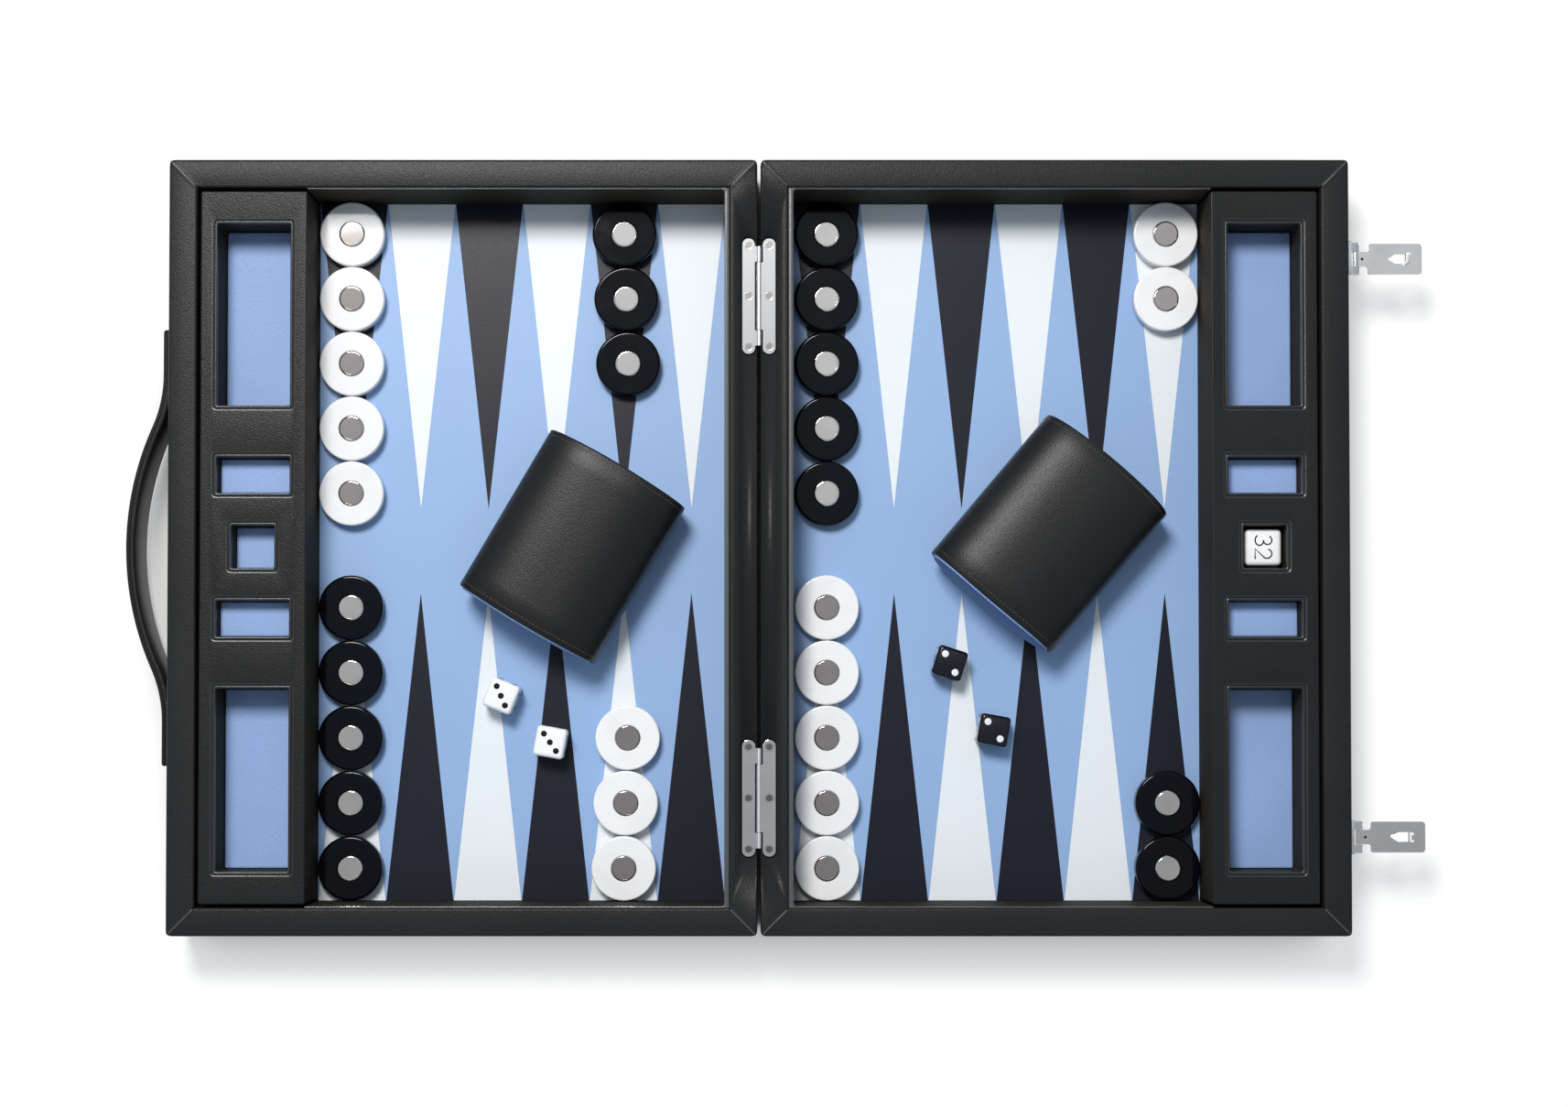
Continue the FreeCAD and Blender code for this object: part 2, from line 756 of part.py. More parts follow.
def build_hasp():
    """The swinging plate: a rolled knuckle, a narrow tongue, a wide plate and a hook.

    The hook is bent out of the plate, which leaves a pointed slot behind it.
    """
    body = new_body("hasp")
    low = f"{LATCH_Z} - hasp_thickness / 2"
    tongue = new_sketch(body, "hasp_tongue", height=low)
    add_rectangle(
        tongue,
        LATCH_X,
        "-tongue_width / 2",
        f"{LATCH_X} + hasp_neck + hasp_corner",
        "tongue_width / 2",
    )
    pad(body, tongue, "hasp_thickness")
    plate = new_sketch(body, "hasp_plate", height=low)
    add_rounded_rectangle(
        plate,
        f"{LATCH_X} + hasp_neck",
        "-hasp_width / 2",
        f"{LATCH_X} + hasp_length",
        "hasp_width / 2",
        "hasp_corner",
    )
    pad(body, plate, "hasp_thickness")
    roll = new_sketch(body, "hasp_roll", plane="XZ_Plane")
    add_circle(roll, LATCH_X, LATCH_Z, "hasp_knuckle_radius")
    pad(body, roll, "tongue_width", both_ways=True)
    bore = new_sketch(body, "hasp_bore", plane="XZ_Plane")
    add_circle(bore, LATCH_X, LATCH_Z, "latch_pin_radius + pin_gap")
    pocket(body, bore, "tongue_width + 1", both_ways=True)
    slot = new_sketch(body, "hook_slot", height=f"{LATCH_Z} + hasp_thickness")
    near_end = f"{LATCH_X} + hook_place - hook_thickness / 2 - slot_length"
    far_end = f"{LATCH_X} + hook_place - hook_thickness / 2"
    add_polygon(
        slot,
        [
            (near_end, "0"),
            (f"{near_end} + hook_width", "-hook_width / 2"),
            (far_end, "-hook_width / 2"),
            (far_end, "hook_width / 2"),
            (f"{near_end} + hook_width", "hook_width / 2"),
        ],
    )
    pocket(body, slot, "2 * hasp_thickness")
    hook = new_sketch(body, "hook", plane="YZ_Plane", height=f"{LATCH_X} + hook_place")
    add_polygon(
        hook,
        [
            ("-hook_width / 2", low),
            ("hook_width / 2", low),
            ("hook_width / 2", f"{LATCH_Z} + hook_height - hook_width / 4"),
            ("hook_width / 4", f"{LATCH_Z} + hook_height"),
            ("-hook_width / 4", f"{LATCH_Z} + hook_height"),
            ("-hook_width / 2", f"{LATCH_Z} + hook_height - hook_width / 4"),
        ],
    )
    pad(body, hook, "hook_thickness", both_ways=True)
    return body


def build_catch():
    """The plate on the left side that the hook drops into when the case is shut."""
    body = new_body("catch")
    plate = new_sketch(body, "catch_plate", plane="YZ_Plane", height=OUTER_SIDE)
    add_rounded_rectangle(
        plate,
        "-catch_length / 2",
        f"{CATCH_Z} - catch_height / 2",
        "catch_length / 2",
        f"{CATCH_Z} + catch_height / 2",
        "catch_corner",
    )
    pad(body, plate, "catch_thickness")
    slot = new_sketch(
        body, "catch_slot", plane="YZ_Plane", height=f"{OUTER_SIDE} + catch_thickness"
    )
    add_rectangle(
        slot,
        "-hook_width / 2 - catch_slot_clearance",
        f"{CATCH_Z} - hook_thickness / 2 - catch_slot_clearance",
        "hook_width / 2 + catch_slot_clearance",
        f"{CATCH_Z} + hook_thickness / 2 + catch_slot_clearance",
    )
    pocket(body, slot, "catch_thickness")
    return body


def build_latches():
    base = build_latch_base()
    pin = build_latch_pin()
    hasp = build_hasp()
    catch = build_catch()
    bases, pins, catches = [], [], []
    for name, sign in (("upper", 1), ("lower", -1)):
        place = f"({sign} * {LATCH_Y})"
        bases.append(instance(f"{name}_latch_base", [base], y=place))
        pins.append(instance(f"{name}_latch_pin", [pin], y=place))
        catches.append(instance(f"{name}_catch", [catch], y=place))
        right_node(f"{name}_hasp", [instance(f"{name}_hasp_piece", [hasp], y=place)])
    right_node("latch_bases", bases)
    right_node("latch_pins", pins)
    left_node("catches", catches)


# ---------------------------------------------------------------- handle


def strap_side(sketch, x, bend, crown):
    """One face of the bent strap, drawn from its lower end to its upper end.

    Two flats are joined by a hollow bend, the long crown and another hollow bend.
    Returns the number of the first of the five curves.
    """
    end = value("handle_length") / 2
    span = value("handle_span") / 2
    angle = 2 * math.atan(value("handle_rise") / span)
    crown_centre = x + bend - (bend + crown) * math.cos(angle)

    def flat(start, stop):
        return Part.LineSegment(FreeCAD.Vector(x, start, 0), FreeCAD.Vector(x, stop, 0))

    def arc(centre_x, centre_y, radius, start, stop):
        centre = FreeCAD.Vector(centre_x, centre_y, 0)
        circle = Part.Circle(centre, FreeCAD.Vector(0, 0, 1), radius)
        return Part.ArcOfCircle(circle, start, stop)

    first = sketch.addGeometry(flat(-end, -span))
    sketch.addGeometry(arc(x + bend, -span, bend, math.pi - angle, math.pi))
    sketch.addGeometry(arc(crown_centre, 0, crown, -angle, angle))
    sketch.addGeometry(arc(x + bend, span, bend, math.pi, math.pi + angle))
    sketch.addGeometry(flat(span, end))
    joints = [(0, 2, 1, 2), (1, 1, 2, 1), (2, 2, 3, 2), (3, 1, 4, 1)]
    for before, before_end, after, after_end in joints:
        sketch.addConstraint(
            Sketcher.Constraint("Tangent", first + before, before_end, first + after, after_end)
        )
    sketch.addConstraint(Sketcher.Constraint("Vertical", first))
    sketch.addConstraint(Sketcher.Constraint("Vertical", first + 4))
    return first


def build_handle():
    """A leather strap, flat on the case at both ends and bowed out between them."""
    body = new_body("handle")
    low = "(half_height / 2 - strap_width / 2)"
    outline = new_sketch(body, "handle_outline", height=low)
    crown = "((handle_span ^ 2 / 4 + handle_rise ^ 2) / (2 * handle_rise) - handle_bend_radius)"
    face = f"({OUTER_SIDE} + strap_thickness)"
    thickness, bend = value("strap_thickness"), value("handle_bend_radius")
    outer = strap_side(outline, value(face), bend, value(crown))
    inner = strap_side(outline, value(OUTER_SIDE), bend + thickness, value(crown) - thickness)
    for curve, end in ((0, 1), (4, 2)):
        spots = [outline.getPoint(side + curve, end) for side in (outer, inner)]
        cap = outline.addGeometry(Part.LineSegment(*spots))
        outline.addConstraint(Sketcher.Constraint("Coincident", cap, 1, outer + curve, end))
        outline.addConstraint(Sketcher.Constraint("Coincident", cap, 2, inner + curve, end))
        outline.addConstraint(Sketcher.Constraint("Horizontal", cap))
    for curve in (1, 2, 3):
        outline.addConstraint(
            Sketcher.Constraint("Coincident", outer + curve, 3, inner + curve, 3)
        )
    place_point(outline, outer, 1, face, "-handle_length / 2")
    place_point(outline, outer + 4, 2, face, "handle_length / 2")
    constrain(outline, "DistanceY", -1, 1, outer, 2, text="-handle_span / 2")
    constrain(outline, "DistanceY", -1, 1, outer + 4, 1, text="handle_span / 2")
    constrain(outline, "Radius", outer + 1, text="handle_bend_radius")
    constrain(outline, "Radius", outer + 3, text="handle_bend_radius")
    constrain(outline, "Radius", outer + 2, text=crown)
    constrain(outline, "DistanceX", -1, 1, inner, 1, text=OUTER_SIDE)
    strap = pad(body, outline, "strap_width")
    bottom, top = value(low), value(f"{low} + strap_width")

    def on_an_outer_edge(point):
        return (near(point.z, bottom) or near(point.z, top)) and point.x > value(OUTER_SIDE) + 1e-3

    soften(body, strap, on_an_outer_edge, "strap_corner", "Chamfer")
    left_node("handle_strap", [body])


# ---------------------------------------------------------------- loose pieces


def build_checkers():
    """Thirty checkers in the opening position.

    Each stands for its round edge with many flat sides, so that all thirty stay light.
    """
    disc = doc.addObject("Part::Prism", "checker_disc")
    disc.Polygon = CHECKER_SIDES
    bind(disc, "Circumradius", f"{CHECKER_DIAMETER} / 2")
    bind(disc, "Height", "checker_thickness")
    # half, point counted from the hinge, end of the board, colour, how many checkers, and
    # whether the column stands a little off the line of its point
    columns = [
        ("left", 5, 1, "white", 5, 0),
        ("left", 5, -1, "black", 5, 0),
        ("left", 1, 1, "black", 3, 1),
        ("left", 1, -1, "white", 3, 1),
        ("right", 0, 1, "black", 5, 0),
        ("right", 0, -1, "white", 5, 0),
        ("right", 5, 1, "white", 2, 0),
        ("right", 5, -1, "black", 2, 0),
    ]
    counts = {"white": 0, "black": 0}
    for half, point, end, colour, count, drifts in columns:
        side = 1 if half == "right" else -1
        line = f"{side} * ({FIELD_INNER} + ({point} + 0.5) * {POINT_PITCH}"
        for place in range(count):
            counts[colour] += 1
            drift = drifts * (place + 0.5)
            x = f"{line} - {drift} * column_drift)"
            first = f"({FIELD_Y} - {CHECKER_DIAMETER} / 2 - checker_gap)"
            y = f"{end} * ({first} - {place} * ({CHECKER_DIAMETER} + checker_gap))"
            name = f"{colour}_checker_{counts[colour]:02d}"
            loose_node(name, [disc], x, y, f"{FIELD_TOP} + rest_gap")


def build_tube(name, back, front, inset, wall, base):
    """A flat-sided oval tube lying on one side, closed at the back and open at the front.

    inset is how far its outside lies within the outside of the cup.
    """
    body = new_body(name)

    def oval(label, place, depth):
        sketch = new_sketch(body, f"{name}_{label}", plane="YZ_Plane", height=place)
        radius = f"(cup_height / 2 - {depth})"
        add_rounded_rectangle(
            sketch,
            f"-(cup_width / 2 - {depth})",
            f"cup_height / 2 - {radius}",
            f"(cup_width / 2 - {depth})",
            f"cup_height / 2 + {radius}",
            f"{radius} - cup_flat / 2",
        )
        return sketch

    pad(body, oval("outside", back, inset), f"({front}) - ({back})")
    hollow = oval("inside", front, f"({inset} + {wall})")
    pocket(body, hollow, f"({front}) - ({back}) - {base}")
    return body


def build_cups():
    back = "(-cup_length / 2)"
    front = "(cup_length / 2)"
    shell = build_tube("cup_shell", back, front, "0", "cup_wall", "cup_base")
    lining = build_tube(
        "cup_lining",
        f"{back} + cup_base + lining_seat",
        f"{front} + cup_lip",
        "(cup_wall + lining_seat)",
        "cup_lining",
        "cup_lining",
    )
    for half in ("left", "right"):
        spot = (f"{half}_cup_x", f"{half}_cup_y", f"{FIELD_TOP} + rest_gap", f"{half}_cup_turn")
        loose_node(f"{half}_cup", [shell], *spot)
        loose_node(f"{half}_cup_lining", [lining], *spot)


def build_cube(name, size, edge):
    """A cube centred on the z axis, standing on z = 0, with every edge bevelled."""
    body = new_body(name)
    outline = new_sketch(body, f"{name}_outline")
    add_rectangle(outline, f"-{size} / 2", f"-{size} / 2", f"{size} / 2", f"{size} / 2")
    block = pad(body, outline, size)
    soften(body, block, lambda point: True, edge, "Chamfer")
    return body


def build_dice():
    die = build_cube("die", "die_size", "die_edge")
    for name in ("white_die_one", "white_die_two", "black_die_one", "black_die_two"):
        loose_node(
            name, [die], f"{name}_x", f"{name}_y", f"{FIELD_TOP} + rest_gap", f"{name}_turn"
        )
    cube = build_cube("cube", "cube_size", "cube_edge")
    place = f"{WELL_FLOOR} + lining_thickness + rest_gap"
    loose_node("doubling_cube", [cube], TRAY_MIDDLE, "0", place)


# ---------------------------------------------------------------- checking and writing


def check_objects():
    """Every feature must have worked, and every finished piece must be sound."""
    doc.recompute()
    for thing in doc.Objects:
        if "Invalid" in thing.State or "Error" in thing.State:
            raise RuntimeError(f"{thing.Name} failed: {thing.State}")
    for name, thing in nodes.items():
        if thing.Shape.isNull() or not thing.Shape.isValid() or not thing.Shape.Solids:
            raise RuntimeError(f"{name} is not a valid solid")


def write_parts():
    os.makedirs("parts", exist_ok=True)
    for name, thing in nodes.items():
        thing.Shape.exportStep(f"parts/{name}.step")
        print(f"{name}: {len(thing.Shape.Solids)} solid(s), {thing.Shape.Volume / 1000:.2f} cm3")


fill_sheet()
build_case_halves()
build_fields()
build_trays()
build_hinges()
build_latches()
build_handle()
build_checkers()
build_cups()
build_dice()
check_objects()
write_parts()
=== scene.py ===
import json
import logging
import math
from dataclasses import dataclass
from enum import Enum
from typing import Any, Callable, Iterable, Optional, Sequence, Union

import bmesh
import bpy
from mathutils import Matrix, Vector
from mathutils.geometry import tessellate_polygon


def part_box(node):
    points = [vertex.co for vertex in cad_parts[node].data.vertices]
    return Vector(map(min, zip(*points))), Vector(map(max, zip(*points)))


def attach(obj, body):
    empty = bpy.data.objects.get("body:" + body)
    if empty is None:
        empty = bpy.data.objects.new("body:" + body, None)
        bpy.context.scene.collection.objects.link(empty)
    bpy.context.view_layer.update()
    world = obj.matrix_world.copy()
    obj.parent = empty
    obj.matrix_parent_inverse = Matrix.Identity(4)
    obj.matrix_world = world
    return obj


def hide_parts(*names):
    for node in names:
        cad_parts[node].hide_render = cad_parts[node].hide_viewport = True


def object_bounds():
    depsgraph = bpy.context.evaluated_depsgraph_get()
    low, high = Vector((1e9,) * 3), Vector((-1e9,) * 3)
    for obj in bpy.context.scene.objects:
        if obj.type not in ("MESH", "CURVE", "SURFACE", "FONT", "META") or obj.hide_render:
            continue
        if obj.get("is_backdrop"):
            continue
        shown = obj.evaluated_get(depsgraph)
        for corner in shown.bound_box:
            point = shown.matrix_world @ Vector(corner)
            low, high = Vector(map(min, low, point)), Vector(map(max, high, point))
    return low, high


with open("model.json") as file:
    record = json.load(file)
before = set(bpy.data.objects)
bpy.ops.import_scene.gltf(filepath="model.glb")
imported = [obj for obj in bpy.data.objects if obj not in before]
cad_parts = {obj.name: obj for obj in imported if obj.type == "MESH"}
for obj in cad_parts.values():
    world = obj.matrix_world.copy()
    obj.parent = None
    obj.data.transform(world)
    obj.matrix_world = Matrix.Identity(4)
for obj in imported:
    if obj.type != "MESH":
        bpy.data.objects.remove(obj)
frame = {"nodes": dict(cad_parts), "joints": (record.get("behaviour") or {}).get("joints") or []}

# A folding backgammon case lying open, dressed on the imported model.
#
# Shapes are made in millimetres in a half's own coordinates: x is the distance outwards
# from the fold, y runs along it and z is up.  The left half is the same construction turned
# half round about the middle of the fold.

CAD_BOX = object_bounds()
MM = 0.001
LOG = logging.getLogger("backgammon_set")

Point2 = tuple[float, float]
Colour = tuple[float, float, float]
Rgba = tuple[float, float, float, float]
Value = Union[float, Rgba, bpy.types.NodeSocket]
Inputs = dict[Union[str, int], Any]


# ---------------------------------------------------------------- places from the model


class Half(Enum):
    """The two halves of the case."""

    RIGHT = "right"
    LEFT = "left"

    @property
    def body(self) -> str:
        """The body that everything fixed to this half rides on."""
        return f"{self.value}_half"

    @property
    def place(self) -> Matrix:
        """From a half's own millimetres to metres in the frame.

        Returns:
            The matrix, which turns the left half about the middle of the fold.
        """
        turn = math.pi if self is Half.LEFT else 0.0
        spin = Matrix.Rotation(turn, 4, "Z")
        return Matrix.Translation((FOLD.x * MM, 0, 0)) @ spin @ Matrix.Scale(MM, 4)


@dataclass(frozen=True)
class Extent:
    """Lowest and highest corner of a node in the frame, in millimetres."""

    low: Vector
    high: Vector

    @property
    def middle(self) -> Vector:
        """The centre of the box."""
        return (self.low + self.high) / 2

    @property
    def size(self) -> Vector:
        """Length, width and height of the box."""
        return self.high - self.low


def joint_place(name: str) -> Vector:
    """Where a hinge joint of the record stands, in millimetres.

    Args:
        name: the joint's name.

    Returns:
        A point on its axis.
    """
    joint = next(j for j in frame["joints"] if j["name"] == name)
    return Vector(joint["pos_m"]) / MM


def extent(node: str) -> Extent:
    """The box of a CAD node in millimetres, measured outwards from the fold along X.

    Args:
        node: the node's name.

    Returns:
        Its box, with x = 0 at the fold.
    """
    low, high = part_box(node)
    shift = Vector((FOLD.x, 0, 0))
    return Extent(low / MM - shift, high / MM - shift)


FOLD = joint_place("fold")
CASE = extent("right_case")
FIELD = extent("right_field")
TRAY = extent("right_tray")
LININGS = extent("right_tray_linings")
RIM_TOP = CASE.high.z
RIM_WIDTH = 14.5
# Thickness of the wall lining along the sides, and beside the hinges.
LINER = 0.8
HINGE_LINER = FIELD.low.x - CASE.low.x - RIM_WIDTH
# Two points nearer than this are one point, and no ring is narrower.
NEAREST = 1e-4
# A rounded corner is never sharper than this.
SHARPEST = 0.05
# Stands a flat plate up on the side of the case: its x along the fold and its y upwards.
UPRIGHT = Matrix(((0, 0, 1, 0), (1, 0, 0, 0), (0, 1, 0, 0), (0, 0, 0, 1)))
# Turns a lathed piece, or a flat plate, so that its z axis lies along the fold.
ALONG_FOLD = Matrix.Rotation(math.pi / 2, 4, "X")


# ---------------------------------------------------------------- shader helpers


class Wiring:
    """Adds nodes to one tree and joins them."""

    def __init__(self, tree: bpy.types.NodeTree) -> None:
        """Starts on an empty tree."""
        self.tree = tree
        tree.nodes.clear()

    def add(
        self, kind: str, inputs: Optional[Inputs] = None, **settings: Any
    ) -> bpy.types.Node:
        """Adds one node.

        Args:
            kind: the node's type name.
            inputs: socket name or number to a value, or to the socket that feeds it.
            settings: properties of the node itself.

        Returns:
            The new node.
        """
        node = self.tree.nodes.new(kind)
        for key, value in settings.items():
            setattr(node, key, value)
        for key, value in (inputs or {}).items():
            socket = node.inputs[key]
            if isinstance(value, bpy.types.NodeSocket):
                self.tree.links.new(value, socket)
            else:
                socket.default_value = value
        return node

    def math(self, operation: str, *values: Value) -> bpy.types.NodeSocket:
        """The result of one arithmetic step on numbers or sockets."""
        inputs = dict(enumerate(values))
        return self.add("ShaderNodeMath", inputs, operation=operation).outputs[0]

    def mix(self, share: Value, first: Value, second: Value) -> bpy.types.NodeSocket:
        """One colour turning into another by a share.

        Args:
            share: how far the first has turned into the second, from 0 to 1.
            first: the colour at 0.
            second: the colour at 1.

        Returns:
            The mixed colour.
        """
        inputs = {0: share, 6: first, 7: second}
        return self.add("ShaderNodeMix", inputs, data_type="RGBA").outputs[2]

    def ramp(self, value: Value, low: Value, high: Value) -> bpy.types.NodeSocket:
        """A smooth step from 0 at low to 1 at high.

        Args:
            value: the number to read.
            low: where the step begins.
            high: where the step ends.

        Returns:
            A number from 0 to 1.
        """
        inputs = {0: value, 1: low, 2: high}
        return self.add("ShaderNodeMapRange", inputs, interpolation_type="SMOOTHSTEP").outputs[0]

    def feed(self, value: bpy.types.NodeSocket, socket: bpy.types.NodeSocket) -> None:
        """Joins one socket to another."""
        self.tree.links.new(value, socket)


Group = tuple[bpy.types.NodeTree, Wiring, bpy.types.Node, bpy.types.Node]


def new_group(
    name: str, inputs: dict[str, tuple[str, float]], outputs: Sequence[str]
) -> Group:
    """An empty shader group with named sockets.

    Args:
        name: what the group is called.
        inputs: socket name to its kind and, for a number, its usual value.
        outputs: names of the numbers it gives out.

    Returns:
        The tree, its wiring, and the group's input and output nodes.
    """
    tree = bpy.data.node_groups.new(name, "ShaderNodeTree")
    for socket, (kind, usual) in inputs.items():
        made = tree.interface.new_socket(socket, in_out="INPUT", socket_type=kind)
        if kind == "NodeSocketFloat":
            made.default_value = usual
    for socket in outputs:
        tree.interface.new_socket(socket, in_out="OUTPUT", socket_type="NodeSocketFloat")
    wiring = Wiring(tree)
    return tree, wiring, wiring.add("NodeGroupInput"), wiring.add("NodeGroupOutput")


@dataclass(frozen=True)
class HideGrain:
    """The grain of a hide: small pebbles with creases between them, and slow unevenness."""

    wobble: float = 1.1
    wobble_detail: float = 2.0
    smoothness: float = 0.35
    crease_start: float = 0.8
    crease_end: float = 0.9
    dome_share: float = 0.7
    fine_share: float = 0.5
    fine_scale: float = 1.6
    fine_detail: float = 3.0
    drift_scale: float = 14.0

    def group(self) -> bpy.types.NodeTree:
        """Builds the shader group.

        Returns:
            A group with Height, Crease and Drift, each from 0 to 1.
        """
        inputs = {
            "Vector": ("NodeSocketVector", 0.0),
            "Cells per Metre": ("NodeSocketFloat", 900.0),
            "Crease Width": ("NodeSocketFloat", 0.3),
        }
        tree, w, source, result = new_group("hide_grain", inputs, ["Height", "Crease", "Drift"])
        vector, cells = source.outputs["Vector"], source.outputs["Cells per Metre"]
        wobble = w.add(
            "ShaderNodeTexNoise",
            {"Vector": vector, "Scale": cells, "Detail": self.wobble_detail},
        )
        centred = w.add(
            "ShaderNodeVectorMath",
            {0: wobble.outputs["Color"], 1: (0.5, 0.5, 0.5)},
            operation="SUBTRACT",
        )
        offset = w.add(
            "ShaderNodeVectorMath",
            {0: centred.outputs[0], "Scale": w.math("DIVIDE", self.wobble, cells)},
            operation="SCALE",
        )
        bent = w.add("ShaderNodeVectorMath", {0: vector, 1: offset.outputs[0]})
        pebbles = w.add(
            "ShaderNodeTexVoronoi",
            {"Vector": bent.outputs[0], "Scale": cells, "Smoothness": self.smoothness},
            feature="SMOOTH_F1",
        )
        start = w.math("SUBTRACT", self.crease_start, source.outputs["Crease Width"])
        crease = w.ramp(pebbles.outputs["Distance"], start, self.crease_end)
        dome = w.math("SUBTRACT", 1.0, pebbles.outputs["Distance"])
        fine_scale = w.math("MULTIPLY", cells, self.fine_scale)
        fine = w.add(
            "ShaderNodeTexNoise",
            {"Vector": vector, "Scale": fine_scale, "Detail": self.fine_detail},
        )
        height = w.math(
            "ADD",
            w.math("MULTIPLY", dome, self.dome_share),
            w.math("MULTIPLY", fine.outputs[0], self.fine_share),
        )
        slow = w.add(
            "ShaderNodeTexNoise",
            {"Vector": vector, "Scale": self.drift_scale, "Detail": self.fine_detail},
        )
        w.feed(height, result.inputs["Height"])
        w.feed(crease, result.inputs["Crease"])
        w.feed(slow.outputs[0], result.inputs["Drift"])
        return tree


@dataclass(frozen=True)
class HandlingMarks:
    """Faint smudges and hair-fine scratches of use, for glossy and polished pieces."""

    smudge_scale: float = 60.0
    smudge_detail: float = 3.0
    smudge_range: tuple[float, float] = (0.35, 0.75)
    scratch_stretch: float = 14.0
    scratch_turn: float = 0.7
    scratch_scale: float = 420.0
    scratch_detail: float = 5.0
    scratch_range: tuple[float, float] = (0.62, 0.70)

    def group(self) -> bpy.types.NodeTree:
        """Builds the shader group.

        Returns:
            A group with Smudge and Scratch, each from 0 to 1.
        """
        inputs = {
            "Vector": ("NodeSocketVector", 0.0),
            "Scratch Amount": ("NodeSocketFloat", 0.3),
        }
        tree, w, source, result = new_group("handling_marks", inputs, ["Smudge", "Scratch"])
        vector = source.outputs["Vector"]
        smudge = w.add(
            "ShaderNodeTexNoise",
            {"Vector": vector, "Scale": self.smudge_scale, "Detail": self.smudge_detail},
        )
        stretch = w.add(
            "ShaderNodeMapping", {"Vector": vector, "Scale": (1.0, self.scratch_stretch, 1.0)}
        )
        stretch.inputs["Rotation"].default_value = (0.0, 0.0, self.scratch_turn)
        lines = w.add(
            "ShaderNodeTexNoise",
            {
                "Vector": stretch.outputs[0],
                "Scale": self.scratch_scale,
                "Detail": self.scratch_detail,
            },
        )
        scratch = w.ramp(lines.outputs[0], *self.scratch_range)
        amount = w.math("MULTIPLY", scratch, source.outputs["Scratch Amount"])
        w.feed(w.ramp(smudge.outputs[0], *self.smudge_range), result.inputs["Smudge"])
        w.feed(amount, result.inputs["Scratch"])
        return tree


GROUPS: dict[str, bpy.types.NodeTree] = {}


def shared_group(name: str, build: Callable[[], bpy.types.NodeTree]) -> bpy.types.NodeTree:
    """The one copy of a node group, made the first time it is asked for.

    Args:
        name: a short name for it.
        build: makes it.

    Returns:
        The group.
    """
    if name not in GROUPS:
        GROUPS[name] = build()
    return GROUPS[name]


def rgba(colour: Colour, share: float = 1.0) -> Rgba:
    """A colour made lighter or darker by a share, as a shader takes it."""
    return (*(min(1.0, part * share) for part in colour), 1.0)


class Finish:
    """A material that is made once and then handed out."""

    name: str

    def material(self) -> bpy.types.Material:
        """The finished material.

        Returns:
            The one copy of it, which all pieces of this finish share.
        """
        found = bpy.data.materials.get(f"finish_{self.name}")
        if found is None:
            found = bpy.data.materials.new(f"finish_{self.name}")
            found.use_nodes = True
            wiring = Wiring(found.node_tree)
            place = wiring.add("ShaderNodeTexCoord").outputs["Object"]
            shader = self.shade(wiring, place)
            wiring.add("ShaderNodeOutputMaterial", {0: shader.outputs[0]})
        return found

    def shade(self, wiring: Wiring, place: bpy.types.NodeSocket) -> bpy.types.Node:
        """Builds the surface; each kind of finish has its own."""
        raise NotImplementedError


@dataclass(frozen=True)
class Leather(Finish):
    """A dyed hide: its grain, its shine and how uneven the dye is."""

    name: str
    colour: Colour
    pebble: float = 1.1
    relief: float = 0.10
    crease: float = 0.3
    roughness: float = 0.5
    shine: float = 0.5
    unevenness: float = 0.10
    # Share by which the colour is darkened in the grain's creases: painted shade.
    crease_painted_shade: float = 0.2
    crease_roughness: float = 0.06
    drift_range: tuple[float, float] = (0.3, 0.7)

    def shade(self, wiring: Wiring, place: bpy.types.NodeSocket) -> bpy.types.Node:
        """A rough base, lighter and darker in slow patches, with painted shade in its creases and
        a fine bump.

        Args:
            wiring: the material's own wiring.
            place: object coordinates.

        Returns:
            The surface shader.
        """
        grain = wiring.add(
            "ShaderNodeGroup", node_tree=shared_group("hide", HideGrain().group)
        )
        wiring.feed(place, grain.inputs["Vector"])
        grain.inputs["Cells per Metre"].default_value = 1.0 / (self.pebble * MM)
        grain.inputs["Crease Width"].default_value = self.crease
        light = rgba(self.colour, 1 + self.unevenness)
        dull = rgba(self.colour, 1 - self.unevenness)
        # Painted shade: the creases are darker in the colour itself.
        dark = rgba(self.colour, 1 - self.crease_painted_shade)
        drift = wiring.ramp(grain.outputs["Drift"], *self.drift_range)
        dyed = wiring.mix(drift, dull, light)
        colour = wiring.mix(grain.outputs["Crease"], dyed, dark)
        spread = wiring.math("MULTIPLY", grain.outputs["Crease"], self.crease_roughness)
        rough = wiring.math("ADD", spread, self.roughness)
        bump = wiring.add(
            "ShaderNodeBump",
            {"Height": grain.outputs["Height"], "Strength": 1.0, "Distance": self.relief * MM},
        )
        return wiring.add(
            "ShaderNodeBsdfPrincipled",
            {
                "Base Color": colour,
                "Roughness": rough,
                "Specular IOR Level": self.shine,
                "Normal": bump.outputs[0],
            },
        )


